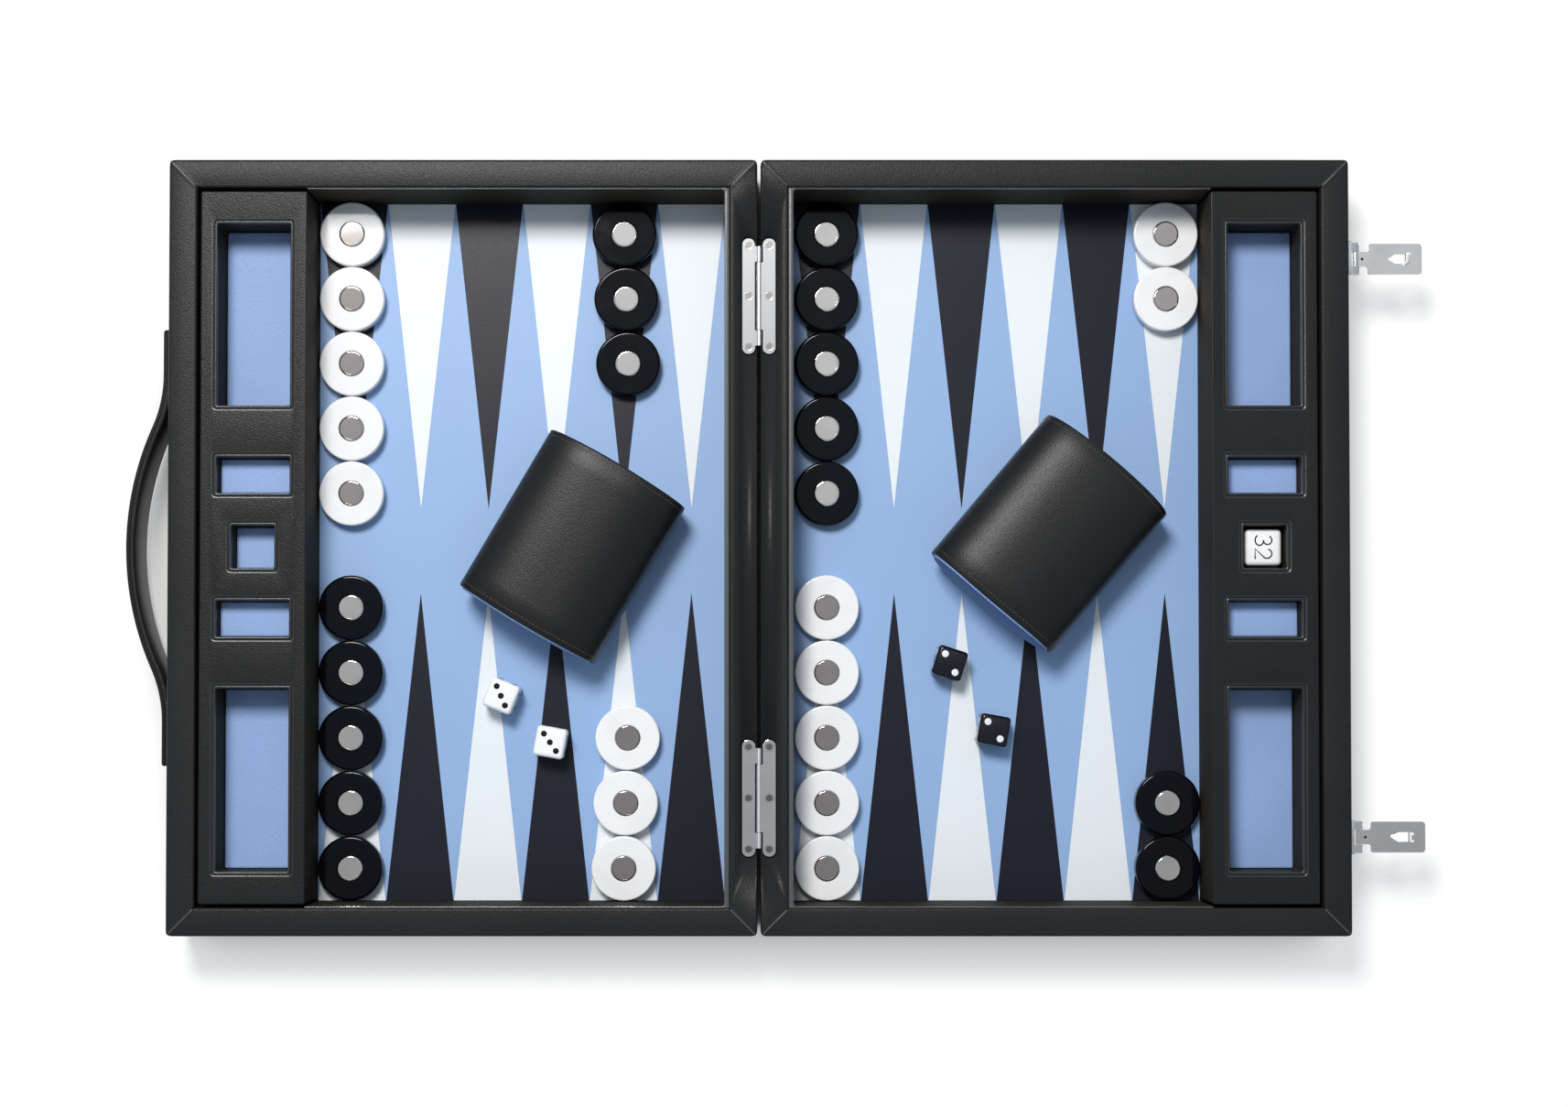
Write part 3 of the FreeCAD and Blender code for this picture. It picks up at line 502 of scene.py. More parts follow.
class Handled(Finish):
    """A hard, smooth surface that bears the faint marks of handling."""

    colour: Colour
    roughness: float
    scratches: float
    smudge_shade: float
    smudge_roughness: float
    scratch_roughness: float

    def marked(
        self, wiring: Wiring, place: bpy.types.NodeSocket
    ) -> tuple[bpy.types.NodeSocket, bpy.types.NodeSocket]:
        """The colour and the roughness, changed a little where the surface was touched.

        Args:
            wiring: the material's own wiring.
            place: object coordinates.

        Returns:
            The colour and the roughness.
        """
        marks = wiring.add(
            "ShaderNodeGroup", node_tree=shared_group("marks", HandlingMarks().group)
        )
        wiring.feed(place, marks.inputs["Vector"])
        marks.inputs["Scratch Amount"].default_value = self.scratches
        dull = rgba(self.colour, self.smudge_shade)
        colour = wiring.mix(marks.outputs["Smudge"], rgba(self.colour), dull)
        smudge = wiring.math("MULTIPLY", marks.outputs["Smudge"], self.smudge_roughness)
        scratch = wiring.math("MULTIPLY", marks.outputs["Scratch"], self.scratch_roughness)
        both = wiring.math("ADD", smudge, scratch)
        return colour, wiring.math("ADD", both, self.roughness)


@dataclass(frozen=True)
class Gloss(Handled):
    """Polished resin or enamel."""

    name: str
    colour: Colour
    roughness: float = 0.08
    shine: float = 0.5
    scratches: float = 0.2
    smudge_shade: float = 0.94
    smudge_roughness: float = 0.05
    scratch_roughness: float = 0.12

    def shade(self, wiring: Wiring, place: bpy.types.NodeSocket) -> bpy.types.Node:
        """A clear, hard surface whose gloss is broken a little by smudges.

        Args:
            wiring: the material's own wiring.
            place: object coordinates.

        Returns:
            The surface shader.
        """
        colour, rough = self.marked(wiring, place)
        return wiring.add(
            "ShaderNodeBsdfPrincipled",
            {"Base Color": colour, "Roughness": rough, "Specular IOR Level": self.shine},
        )


@dataclass(frozen=True)
class Metal(Handled):
    """Plated or polished metal."""

    name: str
    colour: Colour
    roughness: float = 0.2
    scratches: float = 0.5
    smudge_shade: float = 0.9
    smudge_roughness: float = 0.012
    scratch_roughness: float = 0.12

    def shade(self, wiring: Wiring, place: bpy.types.NodeSocket) -> bpy.types.Node:
        """A mirror dulled by fine scratches and finger marks.

        Args:
            wiring: the material's own wiring.
            place: object coordinates.

        Returns:
            The surface shader.
        """
        colour, rough = self.marked(wiring, place)
        return wiring.add(
            "ShaderNodeBsdfPrincipled",
            {"Base Color": colour, "Metallic": 1.0, "Roughness": rough},
        )


RIM_LEATHER = Leather(
    "rim_leather", (0.020, 0.020, 0.020), pebble=0.75, relief=0.09,
    roughness=0.32, shine=0.13,
)
TRAY_LEATHER = Leather(
    "tray_leather", (0.015, 0.015, 0.015), pebble=0.75, relief=0.10,
    roughness=0.32, shine=0.165,
)
# Lighter and warmer than the rim's leather: painted light that lifts the shaded walls and cancels
# the blue thrown on them by the field.
WALL_LEATHER_PAINTED_LIGHT = Leather(
    "wall_leather_painted_light", (0.030, 0.025, 0.018), pebble=0.8, relief=0.04, roughness=0.7,
    shine=0.1,
)
# Much lighter than the rim's leather: a painted highlight along the mitre ridges and the liner's
# turned lip.
EDGE_HIGHLIGHT_LEATHER = Leather(
    "edge_painted_highlight_leather", (0.08, 0.08, 0.08), pebble=0.8, relief=0.04, roughness=0.28,
    shine=0.5,
)
LIP_LEATHER = Leather(
    "lip_leather", (0.02, 0.02, 0.02), pebble=0.8, relief=0.03, roughness=0.3,
    shine=0.5,
)
CALF = Leather(
    "calf_leather", (0.012, 0.012, 0.012), pebble=0.75, relief=0.08,
    roughness=0.36, shine=0.25,
)
BLUE_BOARD = Leather(
    "blue_board", (0.285, 0.435, 0.70), pebble=0.8, relief=0.012, roughness=0.4,
    shine=0.35, unevenness=0.015, crease_painted_shade=0.01,
)
BLUE_LINING = Leather(
    "blue_lining", (0.275, 0.40, 0.69), pebble=1.6, relief=0.10, roughness=0.5,
    shine=0.3, unevenness=0.05, crease_painted_shade=0.03,
)
WHITE_BOARD = Leather(
    "white_board", (0.80, 0.835, 0.865), pebble=0.8, relief=0.01, roughness=0.4,
    shine=0.35, unevenness=0.008, crease_painted_shade=0.01,
)
NAVY_BOARD = Leather(
    "navy_board", (0.011, 0.011, 0.020), pebble=0.8, relief=0.015, roughness=0.33,
    shine=0.2, unevenness=0.04, crease_painted_shade=0.03,
)
WHITE_RESIN = Gloss("white_resin", (0.915, 0.905, 0.905), roughness=0.10)
BLACK_RESIN = Gloss(
    "black_resin", (0.0015, 0.0015, 0.004), roughness=0.07, shine=0.23
)
IVORY_DICE = Gloss("ivory_dice", (0.94, 0.94, 0.94), roughness=0.14)
BLACK_DICE = Gloss("black_dice", (0.004, 0.004, 0.008), roughness=0.14)
BLACK_PAINT = Gloss("black_paint", (0.003, 0.003, 0.004), roughness=0.5, shine=0.15)
WHITE_PAINT = Gloss("white_paint", (0.84, 0.85, 0.85), roughness=0.35)
NICKEL = Metal("nickel", (0.97, 0.94, 0.91), roughness=0.16, scratches=0.2)
LEAF_NICKEL = Metal(
    "leaf_nickel", (0.93, 0.91, 0.89), roughness=0.13, scratches=0.15
)
BARREL_NICKEL = Metal(
    "barrel_nickel", (0.97, 0.95, 0.93), roughness=0.36, scratches=0.2
)
# Dark metal where the gap round a screw head and the recess of its cross lie in shade: painted
# shade.
NICKEL_PAINTED_SHADE = Metal(
    "nickel_painted_shade", (0.17, 0.165, 0.16), roughness=0.3, scratches=0.2
)
# A darker, brownish copy of the polished stud metal: a painted dim reflection on the white
# checkers' studs.
STUD_PAINTED_DIM_REFLECTION = Metal("stud_painted_dim_reflection", (0.62, 0.55, 0.52), roughness=0.06, scratches=0.2)
BRIGHT_STUD = Metal(
    "bright_stud", (0.97, 0.92, 0.86), roughness=0.06, scratches=0.2
)
BLACK_THREAD = Gloss("black_thread", (0.02, 0.02, 0.02), roughness=0.5)
TAN_THREAD = Gloss("tan_thread", (0.075, 0.06, 0.04), roughness=0.6)
# Pure black on the faces cut by the hinge seats and the catch pockets, painted shade in those
# gaps; the hasp's round mark takes the same black.
GAP_SHADE_AND_MARK_BLACK = Gloss("gap_shade_and_mark_black", (0.003, 0.003, 0.003), roughness=0.8)


# ---------------------------------------------------------------- mesh helpers


def rounded_outline(low: Point2, high: Point2, radius: float, steps: int = 5) -> list[Point2]:
    """A rectangle with round corners, anticlockwise from its lower left.

    Args:
        low: the lower left corner.
        high: the upper right corner.
        radius: of each corner.
        steps: points on each corner, less one.

    Returns:
        The points in order.
    """
    centres = [
        (low[0] + radius, low[1] + radius, 180),
        (high[0] - radius, low[1] + radius, 270),
        (high[0] - radius, high[1] - radius, 0),
        (low[0] + radius, high[1] - radius, 90),
    ]
    points = []
    for cx, cy, start in centres:
        for step in range(steps + 1):
            angle = math.radians(start + 90 * step / steps)
            points.append((cx + radius * math.cos(angle), cy + radius * math.sin(angle)))
    return points


def flatten_large_faces(mesh: bpy.types.Mesh, corners: int = 7) -> None:
    """Creases the edges round faces of many corners, so that a flat top shades flat.

    Args:
        mesh: the mesh to crease.
        corners: a face with more corners than this counts as a flat top.
    """
    broad = [face for face in mesh.polygons if face.loop_total > corners]
    outlines = {key for face in broad for key in face.edge_keys}
    for edge in mesh.edges:
        if edge.key in outlines:
            edge.use_edge_sharp = True


def placed(name: str, data: Optional[bpy.types.ID]) -> bpy.types.Object:
    """Puts a mesh, a curve, a lamp or a camera into the scene as an object.

    Args:
        name: the object's name.
        data: what it shows.

    Returns:
        The new object.
    """
    made = bpy.data.objects.new(name, data)
    bpy.context.scene.collection.objects.link(made)
    return made


def plain_mesh(piece: bpy.types.Object) -> bpy.types.Mesh:
    """The mesh that an object comes to, with its modifiers and bevels worked in.

    Args:
        piece: the object, which stays as it is.

    Returns:
        A new mesh.
    """
    graph = bpy.context.evaluated_depsgraph_get()
    return bpy.data.meshes.new_from_object(piece.evaluated_get(graph))


class Shape:
    """A mesh in the making, in millimetres."""

    def __init__(self) -> None:
        """Starts with nothing."""
        self.bm = bmesh.new()

    def face(self, verts: Sequence[bmesh.types.BMVert], material: int) -> None:
        """Adds one face unless it is already there or has fallen to a line.

        Args:
            verts: its corners in order.
            material: the number of its finish.
        """
        unique = list(dict.fromkeys(verts))
        if len(unique) > 2 and self.bm.faces.get(unique) is None:
            self.bm.faces.new(unique).material_index = material

    def ring(self, points: Iterable[Sequence[float]]) -> list[bmesh.types.BMVert]:
        """Adds the points of one ring."""
        return [self.bm.verts.new(p) for p in points]

    def loft(
        self,
        rings: Sequence[Sequence[Sequence[float]]],
        material: int = 0,
        caps: tuple[bool, bool] = (True, True),
        closed: bool = True,
    ) -> list[list[bmesh.types.BMVert]]:
        """A skin over rings of the same number of points.

        Args:
            rings: the points of each ring, in order.
            material: the slot of its faces.
            caps: whether the first and the last ring are closed over.
            closed: whether each ring joins up with itself.

        Returns:
            The vertices of each ring.
        """
        made = [self.ring(points) for points in rings]
        count = len(made[0])
        for below, above in zip(made, made[1:]):
            for i in range(count if closed else count - 1):
                j = (i + 1) % count
                self.face([below[i], below[j], above[j], above[i]], material)
        if caps[0]:
            self.face(made[0][::-1], material)
        if caps[1]:
            self.face(made[-1], material)
        return made

    def slab(
        self,
        low: Point2,
        high: Point2,
        radius: float,
        levels: Sequence[tuple[float, float]],
        material: int = 0,
        caps: tuple[bool, bool] = (True, True),
        steps: int = 5,
    ) -> list[list[bmesh.types.BMVert]]:
        """A rounded rectangle drawn up through levels of (inset, height).

        Args:
            low: the lower left corner.
            high: the upper right corner.
            radius: of its corners where the inset is 0.
            levels: from the bottom up, how far each ring is drawn in and its height.
            material: the number of its finish.
            caps: whether the bottom and the top are closed over.
            steps: points on each corner, less one.

        Returns:
            The vertices of each ring.
        """
        rings = []
        for inset, height in levels:
            outline = rounded_outline(
                (low[0] + inset, low[1] + inset),
                (high[0] - inset, high[1] - inset),
                max(radius - inset, SHARPEST),
                steps,
            )
            rings.append([(x, y, height) for x, y in outline])
        return self.loft(rings, material, caps)

    def lathe(
        self,
        profile: Sequence[Point2],
        segments: int,
        material: int = 0,
        place: Matrix = Matrix.Identity(4),
    ) -> None:
        """A profile of (radius, height) turned round the z axis, then placed.

        Args:
            profile: from the bottom up, the radius and the height of each ring.
            segments: how many faces go round the axis.
            material: the number of its finish.
            place: where the turned piece stands.
        """
        rings = []
        for radius, height in profile:
            reach = max(radius, NEAREST)
            circle = []
            for i in range(segments):
                angle = 2 * math.pi * i / segments
                x, y = reach * math.cos(angle), reach * math.sin(angle)
                circle.append(place @ Vector((x, y, height)))
            rings.append(circle)
        self.loft(rings, material)

    def plate(
        self,
        outline: Sequence[Point2],
        holes: Sequence[Sequence[Point2]],
        low: float,
        high: float,
        material: int = 0,
        place: Matrix = Matrix.Identity(4),
    ) -> None:
        """A flat plate with holes through it, its outline given anticlockwise.

        Args:
            outline: its outer edge.
            holes: the edge of each hole.
            low: height of the lower face.
            high: height of the upper face.
            material: the number of its finish.
            place: how the plate lies.
        """
        loops = [list(outline)] + [list(hole) for hole in holes]
        flat = [Vector((*p, 0)) for loop in loops for p in loop]
        triangles = tessellate_polygon([[Vector((*p, 0)) for p in loop] for loop in loops])
        top = self.ring(place @ Vector((p.x, p.y, high)) for p in flat)
        bottom = self.ring(place @ Vector((p.x, p.y, low)) for p in flat)
        for a, b, c in triangles:
            self.face([top[a], top[b], top[c]], material)
            self.face([bottom[c], bottom[b], bottom[a]], material)
        start = 0
        for loop in loops:
            for i in range(len(loop)):
                j = (i + 1) % len(loop)
                a, b = start + i, start + j
                self.face([bottom[a], bottom[b], top[b], top[a]], material)
            start += len(loop)

    def soften(self, width: float, steps: int = 2, angle: float = 40.0) -> None:
        """Rounds every edge that turns by more than the angle, in degrees.

        Args:
            width: how far each edge is cut back.
            steps: how many faces go across a rounded edge.
            angle: edges that turn by less stay as they are.
        """
        self.bm.normal_update()
        limit = math.radians(angle)
        inner = [e for e in self.bm.edges if len(e.link_faces) == 2]
        bmesh.ops.bevel(
            self.bm,
            geom=[e for e in inner if e.calc_face_angle(0) > limit],
            offset=width,
            offset_type="OFFSET",
            segments=steps,
            profile=0.5,
            affect="EDGES",
            clamp_overlap=True,
        )

    def finish(
        self,
        name: str,
        finishes: Sequence[Finish],
        place: Matrix,
        crease: float = 35.0,
        outward: bool = True,
    ) -> bpy.types.Object:
        """Turns the shape into a finished object at the frame's origin.

        Args:
            name: the piece's name.
            finishes: one for each material number used.
            place: from the shape's millimetres to metres in the frame.
            crease: edges that turn by more than this stay sharp, in degrees.
            outward: whether to turn the faces of closed shells outwards.

        Returns:
            The new object.
        """
        bmesh.ops.remove_doubles(self.bm, verts=self.bm.verts, dist=NEAREST)
        bmesh.ops.dissolve_degenerate(self.bm, edges=self.bm.edges, dist=NEAREST)
        if outward:
            bmesh.ops.recalc_face_normals(self.bm, faces=self.bm.faces)
        self.bm.transform(place)
        mesh = bpy.data.meshes.new(name)
        for f in self.bm.faces:
            f.smooth = True
        self.bm.to_mesh(mesh)
        self.bm.free()
        mesh.set_sharp_from_angle(angle=math.radians(crease))
        flatten_large_faces(mesh)
        for finish in finishes:
            mesh.materials.append(finish.material())
        return placed(name, mesh)


def settle(
    piece: bpy.types.Object, body: str, replaced: Sequence[str] = ()
) -> None:
    """Gives a finished piece its body and the nodes that it stands for.

    Args:
        piece: the finished piece.
        body: the body that it moves with.
        replaced: the CAD nodes whose place it takes.
    """
    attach(piece, body)
    if replaced:
        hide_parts(*replaced)
    LOG.info("%s rides on %s", piece.name, body)


def redress(node: str, finish: Finish) -> None:
    """Gives a CAD node whose shape is right its finished material.

    Args:
        node: the CAD node.
        finish: its material.
    """
    target = frame["nodes"][node]
    for slot in target.material_slots:
        slot.material = finish.material()
    LOG.info("%s keeps its shape", node)


# ---------------------------------------------------------------- geometry node trees


def new_tree(name: str, inputs: Sequence[tuple[str, str]]) -> tuple[bpy.types.NodeTree, Wiring]:
    """An empty geometry tree that takes and gives a geometry.

    Args:
        name: what the tree is called.
        inputs: the name and kind of each further input.

    Returns:
        The tree and its wiring.
    """
    tree = bpy.data.node_groups.new(name, "GeometryNodeTree")
    tree.interface.new_socket("Geometry", in_out="INPUT", socket_type="NodeSocketGeometry")
    for socket, kind in inputs:
        tree.interface.new_socket(socket, in_out="INPUT", socket_type=kind)
    tree.interface.new_socket("Geometry", in_out="OUTPUT", socket_type="NodeSocketGeometry")
    return tree, Wiring(tree)


def end_tree(wiring: Wiring, copies: bpy.types.Node, material: bpy.types.NodeSocket) -> None:
    """Makes the copies real, dresses them and sends them out.

    Args:
        wiring: the tree's wiring.
        copies: the node that makes the copies.
        material: the socket that gives their material.
    """
    real = wiring.add("GeometryNodeRealizeInstances", {0: copies.outputs[0]})
    dressed = wiring.add(
        "GeometryNodeSetMaterial", {"Geometry": real.outputs[0], "Material": material}
    )
    wiring.add("NodeGroupOutput", {0: dressed.outputs[0]})


def copies_tree() -> bpy.types.NodeTree:
    """A copy of one piece on each point, turned by the point's own "turn".

    Returns:
        The tree, which takes points, a Piece and a Material.
    """
    inputs = [("Piece", "NodeSocketObject"), ("Material", "NodeSocketMaterial")]
    tree, w = new_tree("copies_on_points", inputs)
    source = w.add("NodeGroupInput")
    piece = w.add("GeometryNodeObjectInfo", {"Object": source.outputs["Piece"]})
    turn = w.add("GeometryNodeInputNamedAttribute", {"Name": "turn"}, data_type="FLOAT_VECTOR")
    copies = w.add(
        "GeometryNodeInstanceOnPoints",
        {
            "Points": source.outputs["Geometry"],
            "Instance": piece.outputs["Geometry"],
            "Rotation": turn.outputs["Attribute"],
        },
    )
    end_tree(w, copies, source.outputs["Material"])
    return tree


def stitches_tree() -> bpy.types.NodeTree:
    """Short rounded stitches laid end to end along an edge path.

    Returns:
        The tree, which takes a path, a Pitch, a Stitch Length, a Thread and a Material.
    """
    inputs = [
        ("Pitch", "NodeSocketFloat"),
        ("Stitch Length", "NodeSocketFloat"),
        ("Thread", "NodeSocketFloat"),
        ("Material", "NodeSocketMaterial"),
    ]
    tree, w = new_tree("stitches_on_path", inputs)
    source = w.add("NodeGroupInput")
    path = w.add("GeometryNodeMeshToCurve", {"Mesh": source.outputs["Geometry"]})
    points = w.add(
        "GeometryNodeCurveToPoints",
        {"Curve": path.outputs[0], "Length": source.outputs["Pitch"]},
        mode="LENGTH",
    )
    bead = w.add("GeometryNodeMeshUVSphere", {"Segments": 6, "Rings": 5, "Radius": 0.5})
    size = w.add(
        "ShaderNodeCombineXYZ",
        {
            "X": source.outputs["Thread"],
            "Y": source.outputs["Thread"],
            "Z": source.outputs["Stitch Length"],
        },
    )
    copies = w.add(
        "GeometryNodeInstanceOnPoints",
        {
            "Points": points.outputs["Points"],
            "Instance": bead.outputs["Mesh"],
            "Rotation": points.outputs["Rotation"],
            "Scale": size.outputs[0],
        },
    )
    end_tree(w, copies, source.outputs["Material"])
    return tree


def grow(
    name: str,
    points: Sequence[Vector],
    edges: Sequence[tuple[int, int]],
    tree: bpy.types.NodeTree,
    inputs: dict[str, Any],
    turns: Sequence[Vector] = (),
) -> bpy.types.Object:
    """Runs a geometry tree on points or a path, and keeps the result as a plain mesh.

    Args:
        name: the new piece's name.
        points: in metres in the frame.
        edges: pairs of point numbers, for a path.
        tree: the geometry tree.
        inputs: its input names to values.
        turns: a rotation for each point, as Euler angles.

    Returns:
        The new object, with no modifier left on it.
    """
    seed = bpy.data.meshes.new(f"{name}_seed")
    seed.from_pydata([tuple(p) for p in points], list(edges), [])
    if turns:
        stored = seed.attributes.new("turn", "FLOAT_VECTOR", "POINT")
        for i, turn in enumerate(turns):
            stored.data[i].vector = tuple(turn)
    holder = placed(f"{name}_holder", seed)
    modifier = holder.modifiers.new("grow", "NODES")
    modifier.node_group = tree
    sockets = {
        item.name: item.identifier
        for item in tree.interface.items_tree
        if item.item_type == "SOCKET" and item.in_out == "INPUT"
    }
    for key, value in inputs.items():
        modifier[sockets[key]] = value
    mesh = plain_mesh(holder)
    mesh.name = name
    bpy.data.objects.remove(holder)
    return placed(name, mesh)


TREES: dict[str, bpy.types.NodeTree] = {}


def shared_tree(name: str, build: Callable[[], bpy.types.NodeTree]) -> bpy.types.NodeTree:
    """The one copy of a geometry tree, made the first time it is asked for.

    Args:
        name: a short name for it.
        build: makes it.

    Returns:
        The tree.
    """
    if name not in TREES:
        TREES[name] = build()
    return TREES[name]


# How much of the pitch a stitch takes up.
STITCH_SHARE = 0.78


def sew(
    name: str,
    path: Sequence[Vector],
    looped: bool,
    finish: Finish,
    pitch: float = 2.6,
    thread: float = 0.5,
) -> bpy.types.Object:
    """A row of stitches along a path given in metres.

    Args:
        name: the new piece's name.
        path: points along the seam.
        looped: whether its end joins its start.
        finish: of the thread.
        pitch: from one stitch to the next, in millimetres.
        thread: its thickness, in millimetres.

    Returns:
        The row as one plain mesh.
    """
    edges = [(i, i + 1) for i in range(len(path) - 1)]
    if looped:
        edges.append((len(path) - 1, 0))
    inputs = {
        "Pitch": pitch * MM,
        "Stitch Length": STITCH_SHARE * pitch * MM,
        "Thread": thread * MM,
        "Material": finish.material(),
    }
    return grow(name, path, edges, shared_tree("stitches", stitches_tree), inputs)


def copies(
    name: str,
    pattern: bpy.types.Object,
    points: Sequence[Vector],
    turns: Sequence[Vector],
    finish: Finish,
) -> bpy.types.Object:
    """Copies of a pattern piece on points, as one plain mesh; the pattern is thrown away.

    Args:
        name: the new piece's name.
        pattern: the piece to copy.
        points: where each copy stands, in metres in the frame.
        turns: how each copy is turned, as Euler angles.
        finish: of the copies.

    Returns:
        All the copies as one object.
    """
    inputs = {"Piece": pattern, "Material": finish.material()}
    made = grow(name, points, [], shared_tree("copies", copies_tree), inputs, turns)
    bpy.data.objects.remove(pattern)
    return made


# ---------------------------------------------------------------- the case


@dataclass
class CaseHalf:
    """One half of the case: mitred rim boards, bottom panel, liner and hinge seats."""

    half: Half
    width: float = RIM_WIDTH
    outer_round: float = 1.5
    inner_round: float = 1.1
    foot: float = 1.4
    foot_bulge: float = 0.4
    corner: float = 3.0
    seam_depth: float = 0.5
    seam_gap: float = 0.25
    seam_zone: float = 2.0
    bead: float = 0.1
    bead_width: float = 0.75
    bead_rise: float = 0.13
    bead_root: float = 0.5
    seat_depth: float = 2.1
    cutter_rise: float = 2.0
    pocket_depth: float = 4.0
    pocket_width: float = 7.4
    pocket_height: float = 3.6
    pocket_corner: float = 0.4
    lip_drop: float = 1.0
    lip_round: float = 0.35
    lip_depth: float = 0.5
    liner_corner: float = 1.8
    panel_overlap: float = 0.5
    panel_corner: float = 0.5
    panel_rise: float = 0.3
    panel_gap: float = 0.02

    def section(self) -> list[Point2]:
        """The cross-section of a rim board as (distance in from the outside, height).

        Returns:
            Points from the foot of the outside, over the top, to the foot inside.
        """
        top, w = RIM_TOP, self.width
        ro, ri = self.outer_round, self.inner_round
        points = [(self.foot, 0.0), (self.foot_bulge, self.foot_bulge), (0.0, self.foot)]
        for step in range(5):
            angle = math.radians(180 - 22.5 * step)
            points.append((ro + ro * math.cos(angle), top - ro + ro * math.sin(angle)))
        for step in range(5):
            angle = math.radians(90 - 22.5 * step)
            points.append((w - ri + ri * math.cos(angle), top - ri + ri * math.sin(angle)))
        return points + [(w, FIELD.low.z), (w, 0.0)]

    def clip_corner(self, x: float, y: float) -> Point2:
        """Pulls a point near an outer corner of the case back on to the corner's rounding.

        Args:
            x: outwards from the fold.
            y: along the fold.

        Returns:
            The same point, or the nearest one on the rounding.
        """
        r = self.corner
        cx = min(max(x, CASE.low.x + r), CASE.high.x - r)
        cy = min(max(y, CASE.low.y + r), CASE.high.y - r)
        dx, dy = x - cx, y - cy
        reach = math.hypot(dx, dy)
        if dx and dy and reach > r:
            return cx + dx * r / reach, cy + dy * r / reach
        return x, y

    def add_board(self, shape: Shape, start: Vector, end: Vector, inward: Vector) -> None:
        """One mitred board from corner to corner, with a sunk seam at each mitre.

        Args:
            shape: takes the board.
            start: the case's corner where it begins.
            end: the case's corner where it ends.
            inward: the way from its outside to the field.
        """
        along = (end - start).normalized()
        section = self.section()
        middle = self.width / 2
        # Distance from the mitre, and how far the leather is drawn in (1) or swells (-1).
        stations = [(0.03, 1.0), (0.35, 0.0), (0.8, -1.0), (1.5, 0.0), (3.0, 0.0)]
        rings = []
        for side in (0, 1):
            for offset, sink in stations if side == 0 else reversed(stations):
                ring = []
                for inset, height in section:
                    d, z = inset, height
                    if z > RIM_TOP - self.seam_zone:
                        depth = self.seam_depth if sink > 0 else self.bead
                        z -= depth * sink
                    if height > self.seam_zone and sink > 0 and inset < middle:
                        d += self.seam_gap
                    reach = inset + offset
                    place = start + along * reach if side == 0 else end - along * reach
                    place = place + inward * d
                    x, y = self.clip_corner(place.x, place.y)
                    ring.append((x, y, min(z, RIM_TOP + self.bead)))
                rings.append(ring)
        shape.loft(rings)

    def boards(self) -> Shape:
        """The four boards of the rim.

        Returns:
            The rim, each board a closed skin of its own.
        """
        shape = Shape()
        x0, x1 = CASE.low.x, CASE.high.x
        y0, y1 = CASE.low.y, CASE.high.y
        corners = [Vector((x, y, 0)) for x, y in ((x0, y0), (x1, y0), (x1, y1), (x0, y1))]
        inward = [Vector((x, y, 0)) for x, y in ((0, 1), (-1, 0), (0, -1), (1, 0))]
        for i in range(4):
            self.add_board(shape, corners[i], corners[(i + 1) % 4], inward[i])
        return shape

    def mitre_beads(self) -> Shape:
        """The raised fold of leather along each mitre, a thin rounded ridge in a lighter leather
        whose colour is a painted highlight.

        Returns:
            The four ridges of the half.
        """
        shape = Shape()
        middle = CASE.middle
        # Distance in from the corner, and how far the ridge lies below the top of the rim.
        stations = (
            (0.8, 1.2), (1.1, 0.45), (1.6, 0.06), (2.2, 0.0),
            (self.width - 1.6, 0.0), (self.width - 0.9, 0.2), (self.width - 0.3, 1.0),
        )
        # The ridge's section: share of its half width, and height.
        rise, root = self.bead_rise, self.bead_root
        section = (
            (-1.0, -root), (1.0, -root), (0.95, 0.3 * rise), (0.4, rise), (-0.4, rise),
            (-0.95, 0.3 * rise),
        )
        for x in (CASE.low.x, CASE.high.x):
            for y in (CASE.low.y, CASE.high.y):
                inward = Vector(
                    (math.copysign(1, middle.x - x), math.copysign(1, middle.y - y), 0)
                )
                across = Vector((-inward.y, inward.x, 0)).normalized() * self.bead_width / 2
                rings = []
                for reach, sink in stations:
                    base = Vector((x, y, RIM_TOP - sink)) + inward * reach
                    rings.append([base + across * d + Vector((0, 0, z)) for d, z in section])
                shape.loft(rings)
        return shape

    def cutter(self) -> bpy.types.Object:
        """A solid the shape of the hinge seats and, on the left, the pockets behind the catches.

        Returns:
            The solid as an object, to be thrown away after the cut.
        """
        shape = Shape()
        hinge = HingeLeaf(self.half)
        gap = hinge.seat_gap
        for sign in (1, -1):
            y = sign * hinge.offset
            low = (hinge.start - gap, y - hinge.length / 2 - gap)
            high = (hinge.start + hinge.width + gap, y + hinge.length / 2 + gap)
            levels = [(0, RIM_TOP - self.seat_depth), (0, RIM_TOP + self.cutter_rise)]
            shape.slab(low, high, hinge.corner + gap, levels, steps=8)
            if self.half is Half.LEFT:
                y = sign * joint_place("upper_hasp_swing").y
                z = extent("catches").middle.z
                reach = CASE.high.x
                shape.slab(
                    (reach - self.pocket_depth, y - self.pocket_width / 2),
                    (reach + 1.0, y + self.pocket_width / 2),
                    self.pocket_corner,
                    [(0, z - self.pocket_height / 2), (0, z + self.pocket_height / 2)],
                    steps=1,
                )
        # Its black passes to the faces it cuts: painted shade in the seats and pockets.
        return shape.finish("cutter", [GAP_SHADE_AND_MARK_BLACK], self.half.place)

